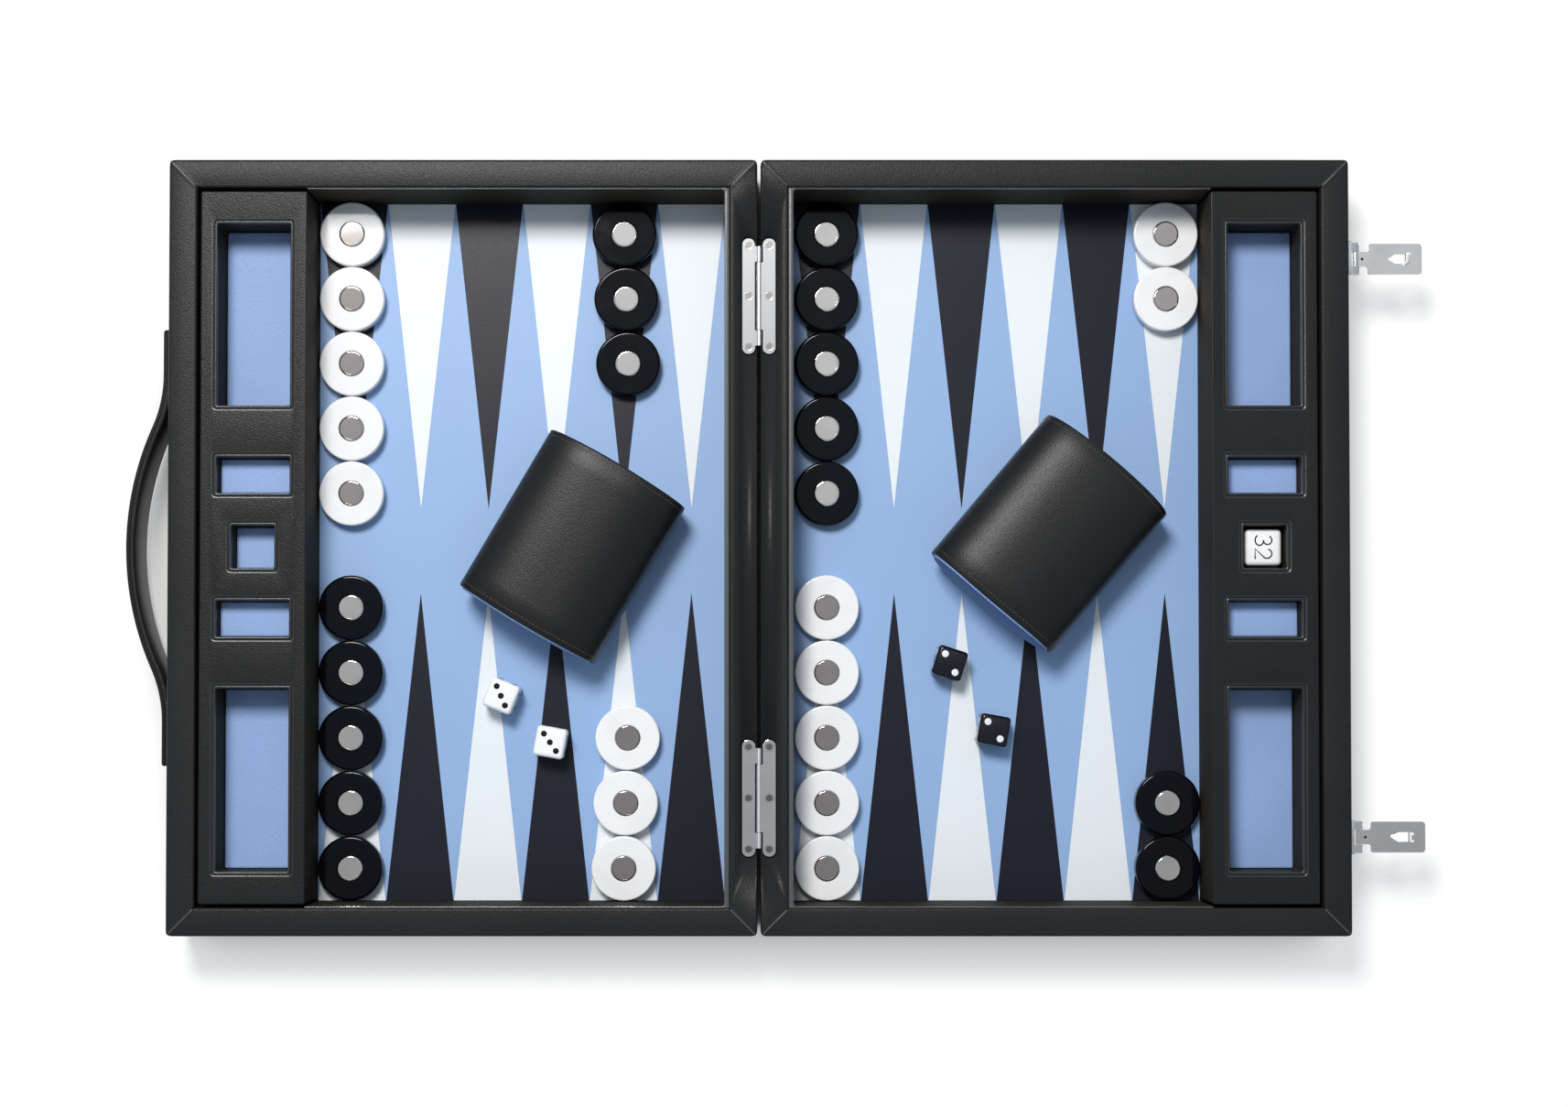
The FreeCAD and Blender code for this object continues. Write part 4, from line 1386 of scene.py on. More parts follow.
    def liner_stations(self) -> list[tuple[Vector, Vector]]:
        """Pairs of points on the outside and inside of the liner, round the field.

        Returns:
            The pairs in order, from the tray past the hinges and back.
        """
        out_x, out_y = CASE.low.x + self.width, CASE.high.y - self.width
        in_x, in_y, r = out_x + HINGE_LINER, out_y - LINER, self.liner_corner
        end = TRAY.low.x
        pairs = [(Vector((end, -out_y)), Vector((end, -in_y)))]
        pairs.append((Vector((in_x + r, -out_y)), Vector((in_x + r, -in_y))))
        turns = 6
        for step in range(1, turns):
            angle = math.radians(270 - 90 * step / turns)
            inner = Vector((in_x + r + r * math.cos(angle), -in_y + r + r * math.sin(angle)))
            share = step / turns
            if share < 0.5:
                outer = Vector((in_x + r + (out_x - in_x - r) * share * 2, -out_y))
            else:
                outer = Vector((out_x, -out_y + (out_y - in_y + r) * (share - 0.5) * 2))
            pairs.append((outer, inner))
        pairs.append((Vector((out_x, -in_y + r)), Vector((in_x, -in_y + r))))
        mirrored = [(Vector((o.x, -o.y)), Vector((i.x, -i.y))) for o, i in reversed(pairs)]
        return pairs + mirrored

    def liner(self) -> Shape:
        """The thin leather wall lining, turned over into a rounded lip below the rim.

        Returns:
            The lining, with its lip as finish 1, which carries a painted highlight.
        """
        shape = Shape()
        top, base, r = RIM_TOP - self.lip_drop, FIELD.low.z, self.lip_round
        rings = []
        for outer, inner in self.liner_stations():
            across = inner - outer
            thick = across.length
            across = across.normalized()
            section = [
                (0.0, base), (0.0, top - r), (0.3 * r, top - 0.3 * r), (r, top),
                (thick - r, top), (thick - 0.3 * r, top - 0.3 * r), (thick, top - r),
                (thick, top - r - self.lip_depth), (thick, base),
            ]
            ring = []
            for distance, z in section:
                place = outer + across * distance
                ring.append((place.x, place.y, z))
            rings.append(ring)
        made = shape.loft(rings)
        lip = {v for ring in made for v in ring[2:8]}
        for f in shape.bm.faces:
            if len(f.verts) == 4 and all(v in lip for v in f.verts):
                f.material_index = 1
        return shape

    def panel(self) -> Shape:
        """The bottom of the half, set up a little between the boards.

        Returns:
            The panel.
        """
        shape = Shape()
        inset = self.width - self.panel_overlap
        shape.slab(
            (CASE.low.x + inset, CASE.low.y + inset),
            (CASE.high.x - inset, CASE.high.y - inset),
            self.panel_corner,
            [(0.0, self.panel_rise), (0.0, FIELD.low.z - self.panel_gap)],
            steps=1,
        )
        return shape

    def build(self) -> None:
        """Makes the half's shell and liner and sets them in place."""
        side, place, body = self.half.value, self.half.place, self.half.body
        # The faces cut by the seats and pockets take the second finish, a black that is painted
        # shade in the gaps.
        rim = self.boards().finish(f"{side}_rim", [RIM_LEATHER, GAP_SHADE_AND_MARK_BLACK], place, crease=50)
        cutter = self.cutter()
        cut = rim.modifiers.new("seats", "BOOLEAN")
        cut.operation = "DIFFERENCE"
        cut.solver = "EXACT"
        cut.use_self = True
        cut.object = cutter
        carved = plain_mesh(rim)
        rim.modifiers.clear()
        rim.data = carved
        bpy.data.objects.remove(cutter)
        settle(rim, body, [f"{side}_case"])
        beads = self.mitre_beads()
        beads = beads.finish(f"{side}_mitre_beads", [EDGE_HIGHLIGHT_LEATHER], place, crease=80)
        settle(beads, body)
        liner = self.liner().finish(f"{side}_liner", [WALL_LEATHER_PAINTED_LIGHT, EDGE_HIGHLIGHT_LEATHER], place)
        settle(liner, body)
        panel = self.panel().finish(f"{side}_bottom", [RIM_LEATHER], place)
        settle(panel, body)


@dataclass
class Board:
    """The playing field of one half: its shapes are the model's own."""

    half: Half

    def build(self) -> None:
        """Dresses the field and its inlaid points."""
        side = self.half.value
        redress(f"{side}_field", BLUE_BOARD)
        redress(f"{side}_light_points", WHITE_BOARD)
        redress(f"{side}_dark_points", NAVY_BOARD)


# ---------------------------------------------------------------- trays


@dataclass(frozen=True)
class Well:
    """One opening of a tray: its middle along the tray, its width, its length and its pad."""

    middle: float
    width: float
    length: float
    pad: float = 0.0


@dataclass
class Tray:
    """The raised block with its five wells, and the leather floors in them."""

    half: Half
    depth: float = 25.6
    corner: float = 0.8
    edge: float = 0.8
    outer_corner: float = 1.2
    margin: float = 0.3
    lip_depth: float = 1.6
    # Each ring of a well's lip, from the flat top inwards: distance out from the opening, and
    # height above the top.  The first four lead down to the sewn groove, the last six are the
    # rolled lip.
    lip: tuple[tuple[float, float], ...] = (
        (2.7, 0.0), (2.5, -0.02), (2.1, -0.11), (1.8, -0.28),
        (1.7, -0.6), (1.5, -0.6),
        (1.4, -0.2), (1.15, 0.0), (0.8, 0.03), (0.4, -0.03), (0.12, -0.25), (0.0, -0.8),
    )
    groove: tuple[int, int] = (4, 6)
    wells: tuple[Well, ...] = (
        Well(-119.9, 37.5, 94.0),
        Well(-37.0, 37.5, 18.5, 14.0),
        Well(0.0, 22.0, 22.0, 11.0),
        Well(37.0, 37.5, 18.5, 14.0),
        Well(119.9, 37.5, 94.0),
    )
    lining_gap: float = 0.25

    def corners(self, well: Well, spread: float) -> tuple[Point2, Point2]:
        """Lower and upper corner of a well's opening, spread outwards by some millimetres.

        Args:
            well: the well.
            spread: in millimetres; less than 0 draws the corners in.

        Returns:
            The two corners.
        """
        x, y = TRAY.middle.x, well.middle
        reach_x, reach_y = well.width / 2 + spread, well.length / 2 + spread
        return (x - reach_x, y - reach_y), (x + reach_x, y + reach_y)

    def block(self) -> Shape:
        """The block: flat top, sewn lips round the wells, walls and well bottoms.

        Returns:
            The block, with its walls as finish 1 and its lips as finish 2.
        """
        shape = Shape()
        top = TRAY.high.z
        low, high = (TRAY.low.x, TRAY.low.y), (TRAY.high.x, TRAY.high.y)
        e = self.edge
        levels = [
            (0.0, TRAY.low.z), (0.0, top - e), (0.08 * e, top - 0.6 * e),
            (0.3 * e, top - 0.3 * e), (0.6 * e, top - 0.08 * e), (e, top),
            (e + self.margin, top),
        ]
        shape.slab(low, high, self.outer_corner, levels[:2], 1, caps=(True, False))
        shape.slab(low, high, self.outer_corner, levels[1:], caps=(False, False))
        e += self.margin
        flat_low, flat_high = (low[0] + e, low[1] + e), (high[0] - e, high[1] - e)
        loops = [rounded_outline(flat_low, flat_high, SHARPEST)]
        sewn, rolled = self.groove
        for well in self.wells:
            rings = []
            for spread, drop in self.lip:
                outline = rounded_outline(*self.corners(well, spread), self.corner + 0.5 * spread)
                rings.append([(x, y, top + drop) for x, y in outline])
            loops.append([(x, y) for x, y, _ in rings[0]])
            outline = rounded_outline(*self.corners(well, 0.0), self.corner)
            rings.append([(x, y, top - self.lip_depth) for x, y in outline])
            made = shape.loft(rings, caps=(False, False))
            edge = {v for ring in made[:sewn] + made[rolled:] for v in ring}
            for f in {f for v in edge for f in v.link_faces if all(w in edge for w in f.verts)}:
                f.material_index = 2
            heights = (top - self.lip_depth, top - self.depth)
            rings = [[(x, y, z) for x, y in outline] for z in heights]
            shape.loft(rings, material=1, caps=(False, True))
        verts = shape.ring(Vector((*p, top)) for loop in loops for p in loop)
        for a, b, c in tessellate_polygon([[Vector((*p, 0)) for p in loop] for loop in loops]):
            shape.face([verts[a], verts[b], verts[c]], 0)
        return shape

    def floors(self) -> Shape:
        """The blue leather floors, their edges turned down softly; short wells stand on a pad.

        Returns:
            The five floors.
        """
        shape = Shape()
        base = LININGS.low.z
        for well in self.wells:
            holds_cube = self.half is Half.RIGHT and well.middle == 0
            top = LININGS.high.z + (0.0 if holds_cube else well.pad)
            levels = [
                (0.0, base), (0.0, top - 0.8), (0.15, top - 0.3), (0.5, top - 0.06),
                (1.2, top), (1.4, top),
            ]
            low, high = self.corners(well, -self.lining_gap)
            shape.slab(low, high, self.corner, levels)
        return shape

    def build(self) -> None:
        """Makes the block and the floors and sets them in place."""
        side, place, body = self.half.value, self.half.place, self.half.body
        leathers = [TRAY_LEATHER, WALL_LEATHER_PAINTED_LIGHT, LIP_LEATHER]
        block = self.block().finish(f"{side}_tray_block", leathers, place)
        settle(block, body, [f"{side}_tray"])
        floors = self.floors().finish(f"{side}_well_floors", [BLUE_LINING], place, crease=60)
        settle(floors, body, [f"{side}_tray_linings"])


# ---------------------------------------------------------------- hinges


@dataclass
class HingeLeaf:
    """The two leaves of one half, let in flush, with knuckles and screws."""

    half: Half
    offset: float = 129.2
    length: float = 60.0
    start: float = 1.85
    width: float = 6.9
    thickness: float = 1.5
    corner: float = 3.3
    seat_gap: float = 0.6
    knuckle: float = 1.2
    knuckle_round: float = 0.2
    knuckle_start: float = 4.3
    knuckle_end: float = 12.3
    knuckle_gap: float = 0.3
    web_depth: float = 1.2
    web_start: float = 0.2
    web_overlap: float = 1.0
    web_corner: float = 0.1
    screw_spacing: float = 26.2
    screw_turn: float = 47.0
    leaf_turn: float = 70.0
    head: float = 2.2
    cross_reach: float = 1.15
    cross_width: float = 0.4
    ring_depth: float = 0.1

    def knuckles(self) -> list[Point2]:
        """Start and end of each knuckle along the fold, from the hinge's middle.

        Returns:
            One long knuckle on the right half, or two short ones on the left.
        """
        outer, inner = self.length / 2 - self.knuckle_start, self.length / 2 - self.knuckle_end
        if self.half is Half.RIGHT:
            return [(-inner + self.knuckle_gap, inner - self.knuckle_gap)]
        return [(-outer, -inner), (inner, outer)]

    def leaves(self) -> Shape:
        """Both leaves, each a rounded plate with its rolled knuckles.

        Returns:
            The leaves, with their knuckles as finish 1.
        """
        shape = Shape()
        top = RIM_TOP
        for sign in (1, -1):
            y = sign * self.offset
            levels = [
                (0.0, top - self.thickness), (0.0, top - 0.35), (0.05, top - 0.18),
                (0.17, top - 0.06), (0.35, top),
            ]
            low = (self.start, y - self.length / 2)
            high = (self.start + self.width, y + self.length / 2)
            shape.slab(low, high, self.corner, levels, steps=8)
            for a, b in self.knuckles():
                web = [(0.0, top - self.web_depth), (0.0, top - 0.02)]
                web_low = (self.web_start, y + a)
                web_high = (self.start + self.web_overlap, y + b)
                shape.slab(web_low, web_high, self.web_corner, web, steps=1)
                turn = Matrix.Translation((0, y, FOLD.z)) @ Matrix.Rotation(-math.pi / 2, 4, "X")
                r, c = self.knuckle, self.knuckle_round
                roll = [(0, a), (r - c, a), (r, a + c), (r, b - c), (r - c, b), (0, b)]
                shape.lathe(roll, 32, 1, turn)
        return shape

    def screw_places(self) -> list[tuple[Vector, float]]:
        """The place of each screw on the rim and how far it has been driven round.

        Returns:
            For each of the six screws, its place in the half and its turn.
        """
        return [
            (
                Vector((
                    self.start + self.width / 2,
                    sign * self.offset + step * self.screw_spacing,
                    RIM_TOP,
                )),
                math.radians(self.screw_turn * step + self.leaf_turn * sign),
            )
            for sign in (1, -1)
            for step in (-1, 0, 1)
        ]

    def screw_pattern(self) -> bpy.types.Object:
        """One countersunk head, its rim flush with z = 0, in metres.

        Returns:
            The head, to be copied to each screw's place.
        """
        shape = Shape()
        r = self.head
        dish = [
            (0.0, -1.2), (r - 1.0, -1.2), (r, -0.1), (r - 0.05, 0.03), (r - 0.3, 0.05),
            (r - 0.55, -0.02), (r - 0.6, -0.02), (0.0, -0.02),
        ]
        shape.lathe(dish, 28)
        return shape.finish("screw_pattern", [LEAF_NICKEL], Matrix.Scale(MM, 4))

    def rings_shape(self) -> Shape:
        """The fine dark rings round the screw heads and the cross in each head: painted shade of
        the gap round each head and of the cross's recess.

        Returns:
            The rings and crosses of all six screws.
        """
        shape = Shape()
        inner, outer, depth = self.head - 0.05, self.head + 0.13, self.ring_depth
        a, b = self.cross_reach, self.cross_width / 2
        for spot, driven in self.screw_places():
            place = Matrix.Translation(spot)
            ring = [(inner, -depth), (outer, -depth), (outer, 0.015), (inner, 0.015)]
            shape.lathe(ring, 28, 0, place)
            for quarter, height in ((0, 0.012), (math.pi / 2, 0.01)):
                spin = place @ Matrix.Rotation(driven + quarter, 4, "Z")
                arm = [spin @ Vector((x, y, 0)) for x, y in ((-a, -b), (a, -b), (a, b), (-a, b))]
                shape.loft([[(v.x, v.y, v.z + z) for v in arm] for z in (-depth, height)])
        return shape

    def build(self) -> None:
        """Makes the leaves, their screws and the rings round them."""
        side, place, body = self.half.value, self.half.place, self.half.body
        metals = [LEAF_NICKEL, BARREL_NICKEL]
        leaves = self.leaves().finish(f"{side}_leaves", metals, place, crease=16)
        settle(leaves, body, [f"{side}_hinge_leaves"])
        points = [place @ spot for spot, _ in self.screw_places()]
        turns = [Vector((0, 0, driven)) for _, driven in self.screw_places()]
        screws = copies(f"{side}_hinge_screws", self.screw_pattern(), points, turns, LEAF_NICKEL)
        settle(screws, body)
        rings = self.rings_shape().finish(f"{side}_screw_rings", [NICKEL_PAINTED_SHADE], place)
        settle(rings, body)
        if self.half is Half.RIGHT:
            redress("hinge_pins", BARREL_NICKEL)


# ---------------------------------------------------------------- latches and handle


class Side(Enum):
    """The two latches, by where they stand along the case."""

    UPPER = "upper"
    LOWER = "lower"


@dataclass
class Latch:
    """A latch on the right side: base plate, two lugs and the swinging hasp."""

    side: Side
    plate_thickness: float = 1.4
    plate_length: float = 19.0
    plate_height: float = 11.0
    plate_corner: float = 1.5
    plate_round: float = 0.3
    lug_radius: float = 2.3
    lug_width: float = 4.2
    lug_gap: float = 0.2
    tongue: float = 7.6
    neck: float = 6.4
    reach: float = 34.4
    width: float = 16.0
    thickness: float = 1.4
    shoulder: float = 1.0
    edge_round: float = 0.18
    slot: float = 9.0
    hook: float = 26.5
    hook_width: float = 5.0
    hook_height: float = 6.4
    hook_thickness: float = 1.2
    curl: float = 1.7
    mark: float = 0.75
    mark_place: float = 3.4

    @property
    def pivot(self) -> Vector:
        """A point on the hasp's pin, outwards from the fold."""
        return joint_place(f"{self.side.value}_hasp_swing") - Vector((FOLD.x, 0, 0))

    def hasp(self) -> Shape:
        """The stamped plate with its rolled end, pointed slot and bent hook.

        Returns:
            The hasp, with the round mark on it as finish 1.
        """
        shape = Shape()
        low = -self.thickness / 2
        half, t = self.width / 2, self.tongue / 2
        place = Matrix.Translation(self.pivot)
        r, n, e = self.shoulder, self.neck, self.reach
        # One long edge of the plate, from the roll out to the rounded end.
        outline = [
            (-1.6, -t), (n - 1.2, -t), (n - 0.4, -t - 0.3), (n, -t - 1.2), (n, -half + r),
            (n + 0.3, -half + 0.3), (n + r, -half), (e - 1.6, -half), (e - 0.5, -half + 0.5),
            (e, -half + 1.6),
        ]
        outline += [(x, -y) for x, y in reversed(outline)]
        hook_half = self.hook_thickness / 2
        far, near = self.hook - hook_half, self.hook - hook_half - self.slot
        hw = self.hook_width / 2
        hole = [
            (near, 0.0), (near + 0.4, -0.7), (near + 3.6, -hw), (far, -hw), (far, hw),
            (near + 3.6, hw), (near + 0.4, 0.7),
        ]
        shape.plate(outline, [hole], low, -low, 0, place)
        shape.soften(self.edge_round, 2, 60)
        spot = place @ Matrix.Translation((self.mark_place, 0, -low))
        disc = [(0, -0.2), (self.mark, -0.2), (self.mark, 0.015), (0, 0.015)]
        shape.lathe(disc, 16, 1, spot)
        c = self.curl
        roll = [(0, -t), (c - 0.2, -t), (c, -t + 0.2), (c, t - 0.2), (c - 0.2, t), (0, t)]
        shape.lathe(roll, 32, 0, place @ ALONG_FOLD)
        tip = self.hook_height
        right = [(hw, low), (hw, tip - 1.4), (hw - 1.2, tip)]
        hook = [(-hw, low), *right, (-hw + 1.2, tip), (-hw, tip - 1.4)]
        upright = place @ Matrix.Translation((self.hook, 0, 0)) @ UPRIGHT
        shape.plate(hook, [], -hook_half, hook_half, 0, upright)
        return shape

    def base(self) -> Shape:
        """The plate screwed to the side of the case, with a lug at each side of the hasp.

        Returns:
            The plate and its lugs.
        """
        shape = Shape()
        wall, pivot = CASE.high.x, self.pivot
        upright = Matrix.Translation((wall, pivot.y, pivot.z)) @ UPRIGHT
        x, y = self.plate_length / 2, self.plate_height / 2
        outline = rounded_outline((-x, -y), (x, y), self.plate_corner)
        shape.plate(outline, [], 0.0, self.plate_thickness, 0, upright)
        r, reach = self.lug_radius, pivot.x - wall
        for sign in (1, -1):
            middle = sign * (self.tongue / 2 + self.lug_width / 2 + self.lug_gap)
            outline = [(0.0, -r), (reach, -r)]
            for step in range(1, 10):
                angle = math.radians(-90 + 180 * step / 10)
                outline.append((reach + r * math.cos(angle), r * math.sin(angle)))
            outline += [(reach, r), (0.0, r)]
            flat = Matrix.Translation((wall, pivot.y + middle, pivot.z)) @ ALONG_FOLD
            shape.plate(outline, [], -self.lug_width / 2, self.lug_width / 2, 0, flat)
        shape.soften(self.plate_round, 2, 60)
        return shape

    def build(self) -> None:
        """Makes the base and the hasp; each rides on its own body."""
        name, place = self.side.value, Half.RIGHT.place
        hasp = self.hasp().finish(f"{name}_hasp_plate", [NICKEL, GAP_SHADE_AND_MARK_BLACK], place, crease=16)
        settle(hasp, f"{name}_hasp", [f"{name}_hasp"])
        base = self.base().finish(f"{name}_latch_plate", [NICKEL], place, crease=16)
        replaced = ["latch_bases"] if self.side is Side.UPPER else []
        settle(base, Half.RIGHT.body, replaced)


@dataclass
class Handle:
    """The bowed strap: two layers sewn together along both edges."""

    thickness: float = 4.6
    span: float = 180.0
    bend: float = 70.0
    edge: float = 1.0
    groove: float = 0.6
    end_round: float = 1.6
    bend_steps: int = 12
    crown_steps: int = 48
    seam_inset: float = 3.0
    seam_lift: float = 0.02
    seam_clear: float = 2.5

    def centre_line(self) -> list[tuple[Point2, Point2]]:
        """Points of the strap's middle line with the direction outwards at each.

        Returns:
            Each point and its direction, from one end to the other.
        """
        strap = self.strap_extent()
        rise = strap.size.x - self.thickness
        half_span, half_length = self.span / 2, strap.size.y / 2
        angle = 2 * math.atan(rise / half_span)
        crown = half_span / math.sin(angle) - self.bend
        base = strap.low.x + self.thickness / 2
        ends = (0.0, 0.2, 0.6, 1.1, 1.6, 12.0)
        line = [((base, -half_length + step), (1.0, 0.0)) for step in ends]
        for step in range(self.bend_steps + 1):
            a = angle * step / self.bend_steps
            x, y = base + self.bend * (1 - math.cos(a)), -half_span + self.bend * math.sin(a)
            line.append(((x, y), (math.cos(a), -math.sin(a))))
        first = line.copy()
        centre = base + rise - crown
        for step in range(1, self.crown_steps):
            a = -angle + 2 * angle * step / self.crown_steps
            spot = (centre + crown * math.cos(a), crown * math.sin(a))
            line.append((spot, (math.cos(a), math.sin(a))))
        return line + [((x, -y), (nx, -ny)) for (x, y), (nx, ny) in reversed(first)]

    @staticmethod
    def strap_extent() -> Extent:
        """The strap's box in a half's own millimetres.

        Returns:
            Its box, measured outwards from the fold.
        """
        box = extent("handle_strap")
        low = Vector((-box.high.x, box.low.y, box.low.z))
        return Extent(low, Vector((-box.low.x, box.high.y, box.high.z)))

    def strap(self) -> Shape:
        """The strap itself, drawn along its middle line.

        Returns:
            The strap.
        """
        shape = Shape()
        box = self.strap_extent()
        low, high, t, e, g = box.low.z, box.high.z, self.thickness / 2, self.edge, self.groove
        # The lower edge from the inside out, with the groove where the two layers meet.
        section = [
            (-t, low + e), (-t + 0.3 * e, low + 0.3 * e), (-t + e, low),
            (-0.5, low), (-0.2, low + g), (0.2, low + g), (0.5, low),
            (t - e, low), (t - 0.3 * e, low + 0.3 * e), (t, low + e),
        ]
        section += [(d, low + high - z) for d, z in reversed(section)]
        rings = []
        for (x, y), (nx, ny) in self.centre_line():
            cut = max(0.0, self.end_round - (box.high.y - abs(y)))
            outer = t - self.end_round + math.sqrt(max(0.0, self.end_round**2 - cut**2))
            rings.append([(x + nx * min(d, outer), y + ny * min(d, outer), z) for d, z in section])
        shape.loft(rings)
        return shape

    def seam(self, height: float) -> list[Vector]:
        """A line along the strap's outer face at some height, clear of its rounded ends.

        Args:
            height: above the ground, in millimetres.

        Returns:
            Its points, in metres in the frame.
        """
        lift = self.thickness / 2 + self.seam_lift
        last = self.strap_extent().high.y - self.seam_clear
        path = []
        for (x, y), (nx, ny) in self.centre_line():
            if abs(y) < last:
                path.append(Half.LEFT.place @ Vector((x + nx * lift, y + ny * lift, height)))
        return path

    def build(self) -> None:
        """Makes the strap and its two rows of stitches."""
        strap = self.strap().finish("handle", [TRAY_LEATHER], Half.LEFT.place, crease=50)
        settle(strap, Half.LEFT.body, ["handle_strap"])
        box = self.strap_extent()
        inset = self.seam_inset
        for row, height in (("lower", box.low.z + inset), ("upper", box.high.z - inset)):
            stitches = sew(f"handle_{row}_stitches", self.seam(height), False, BLACK_THREAD)
            settle(stitches, Half.LEFT.body)


# ---------------------------------------------------------------- loose pieces


@dataclass
class Checkers:
    """Thirty turned discs, each with a polished metal stud let into its top."""

    black_edge: float = 1.3
    white_edge: float = 0.95
    stud: float = 6.7
    stud_rise: float = 0.35

    def pattern(self, radius: float, height: float, edge: float) -> Shape:
        """One checker standing at the origin, its edge rounded as told.

        Args:
            radius: of the disc.
            height: of the disc without its stud.
            edge: radius of the rounded edge.

        Returns:
            The disc, with its stud as finish 1.
        """
        shape = Shape()
        r, h, e, s = radius, height, edge, self.stud
        disc = [(0, 0), (r - e, 0), (r - 0.3 * e, 0.3 * e), (r, e), (r, h - e)]
        for step in range(1, 6):
            angle = math.radians(18 * step)
            disc.append((r - e + e * math.cos(angle), h - e + e * math.sin(angle)))
        # The flat top, and the seat that the stud is let into.
        disc += [
            (r - e - 0.15, h), (s + 0.45, h), (s + 0.3, h), (s + 0.2, h - 0.1),
            (s + 0.05, h - 0.3), (s - 0.3, h - 0.3),
        ]
        shape.lathe(disc, 72)
        # The stud's edge, its sloping side, and the fine ring turned into its flat top.
        top = h + self.stud_rise
        button = [
            (s - 0.2, h - 0.35), (s, h - 0.2), (s, h + 0.02), (s - 0.05, h + 0.08),
            (s - 0.48, top - 0.04), (s - 0.56, top),
            (s - 0.68, top), (s - 0.74, top - 0.05), (s - 0.84, top - 0.05), (s - 0.9, top),
            (s - 1.05, top), (0, top),
        ]
        shape.lathe(button, 48, 1)
        return shape

    def build(self) -> None:
        """Makes one checker for every checker node of the model."""
        for node in sorted(n for n in frame["nodes"] if "_checker_" in n):
            box = extent(node)
            white = node.startswith("white")
            # The white checkers' studs take the darker copy of the stud metal, a painted dim
            # reflection.
            finishes = [WHITE_RESIN, STUD_PAINTED_DIM_REFLECTION] if white else [BLACK_RESIN, BRIGHT_STUD]
            edge = self.white_edge if white else self.black_edge
            spot = Vector((box.middle.x + FOLD.x, box.middle.y, box.low.z))
            place = Matrix.Scale(MM, 4) @ Matrix.Translation(spot)
            shape = self.pattern(box.size.y / 2, box.size.z, edge)
            piece = shape.finish(f"{node}_piece", finishes, place, crease=30)
            settle(piece, node, [node])


@dataclass
class DiceCup:
    """A flat-sided oval leather cup lying on its side, lined in blue."""

    half: Half
    turn: float
    width: float = 81.0
    height: float = 40.0
    length: float = 95.0
    wall: float = 2.2
    lining: float = 0.8
    lean: float = 1.4
    edge: float = 0.7
    seam: float = 2.8
    stitch: float = 2.2
    thread: float = 0.45
    squareness: float = 2.5
    bow: float = 1.5
    lip: float = 0.1
    base_depth: float = 4.0
    points: int = 80

    @property
    def place(self) -> Matrix:
        """From the cup's own millimetres, mouth towards +x, to metres in the frame.

        Returns:
            The matrix.
        """
        box = extent(f"{self.half.value}_cup")
        spot = Matrix.Translation((box.middle.x + FOLD.x, box.middle.y, box.low.z))
        return Matrix.Scale(MM, 4) @ spot @ Matrix.Rotation(math.radians(self.turn), 4, "Z")

    def oval(self, along: float, inset: float) -> list[tuple[float, float, float]]:
        """The cup's full, rounded section at some way along it; the ends bow outwards.

        Args:
            along: how far the section lies from the cup's middle, towards the mouth.
            inset: how far it is drawn in from the outside.

        Returns:
            The points round it.
        """
        a, b, power = self.width / 2 - inset, self.height / 2 - inset, 2 / self.squareness
        share = max(0.0, along / self.length + 0.5)
        points = []
        for step in range(self.points):
            angle = math.tau * step / self.points
            c, s = math.cos(angle), math.sin(angle)
            y = math.copysign(a * abs(c) ** power, c)
            z = self.height / 2 + math.copysign(b * abs(s) ** power, s)
            bowed = along + self.bow * (1 - (2 * y / self.width) ** 2) * 2 * along / self.length
            points.append((bowed - self.lean * share * z / self.height, y, z))
        return points

    def shell(self) -> Shape:
        """The leather outside, turned in at the mouth and rounded at the base.

        Returns:
            The shell, open at the mouth.
        """
        shape = Shape()
        back, front, e = -self.length / 2, self.length / 2, self.edge
        stations = [(back, 3.0), (back, 0.9), (back + 0.25, 0.3), (back + 0.9, 0.0)]
        stations += [(back + self.length * k / 8, 0.0) for k in range(1, 8)]
        stations += [(front - e, 0.0), (front - 0.2, 0.25), (front, e), (front, self.wall)]
        stations += [(front - 2.0, self.wall)]
        rings = [self.oval(along, inset) for along, inset in stations]
        shape.loft(rings, caps=(True, False))
        return shape

    def inside(self) -> Shape:
        """The blue lining, which stands out a little as a light lip.

        Returns:
            The lining, closed at the base.
        """
        shape = Shape()
        front = self.length / 2 + self.lining
        inner = self.wall + self.lining
        base, lip = self.base_depth - self.length / 2, self.lip
        stations = [
            (front - 3.0, self.wall - lip), (front - 0.3, self.wall - lip),
            (front, self.wall + lip), (front, inner - lip), (front - 0.3, inner),
            (front - 6, inner), (0.0, inner), (base + 0.5, inner), (base, inner + 0.5),
            (base, inner + 3.0),
        ]
        rings = [self.oval(along, inset) for along, inset in stations]
        shape.loft(rings, caps=(False, True))
        return shape

    def build(self) -> None:
        """Makes the shell, the lining and a row of stitches near each end."""
        body = f"{self.half.value}_cup"
        place = self.place
        shell = self.shell().finish(f"{body}_shell", [CALF], place, crease=60, outward=False)
        settle(shell, body, [body])
        inside = self.inside()
        inside = inside.finish(f"{body}_inside", [BLUE_LINING], place, crease=60, outward=False)
        settle(inside, body, [f"{body}_lining"])
        reach = self.length / 2 - self.seam
        for end, along in (("mouth", reach), ("base", -reach)):
            path = [place @ Vector(p) for p in self.oval(along, -0.02)]
            name = f"{body}_{end}_stitches"
            row = sew(name, path, True, TAN_THREAD, self.stitch, self.thread)
            settle(row, body)


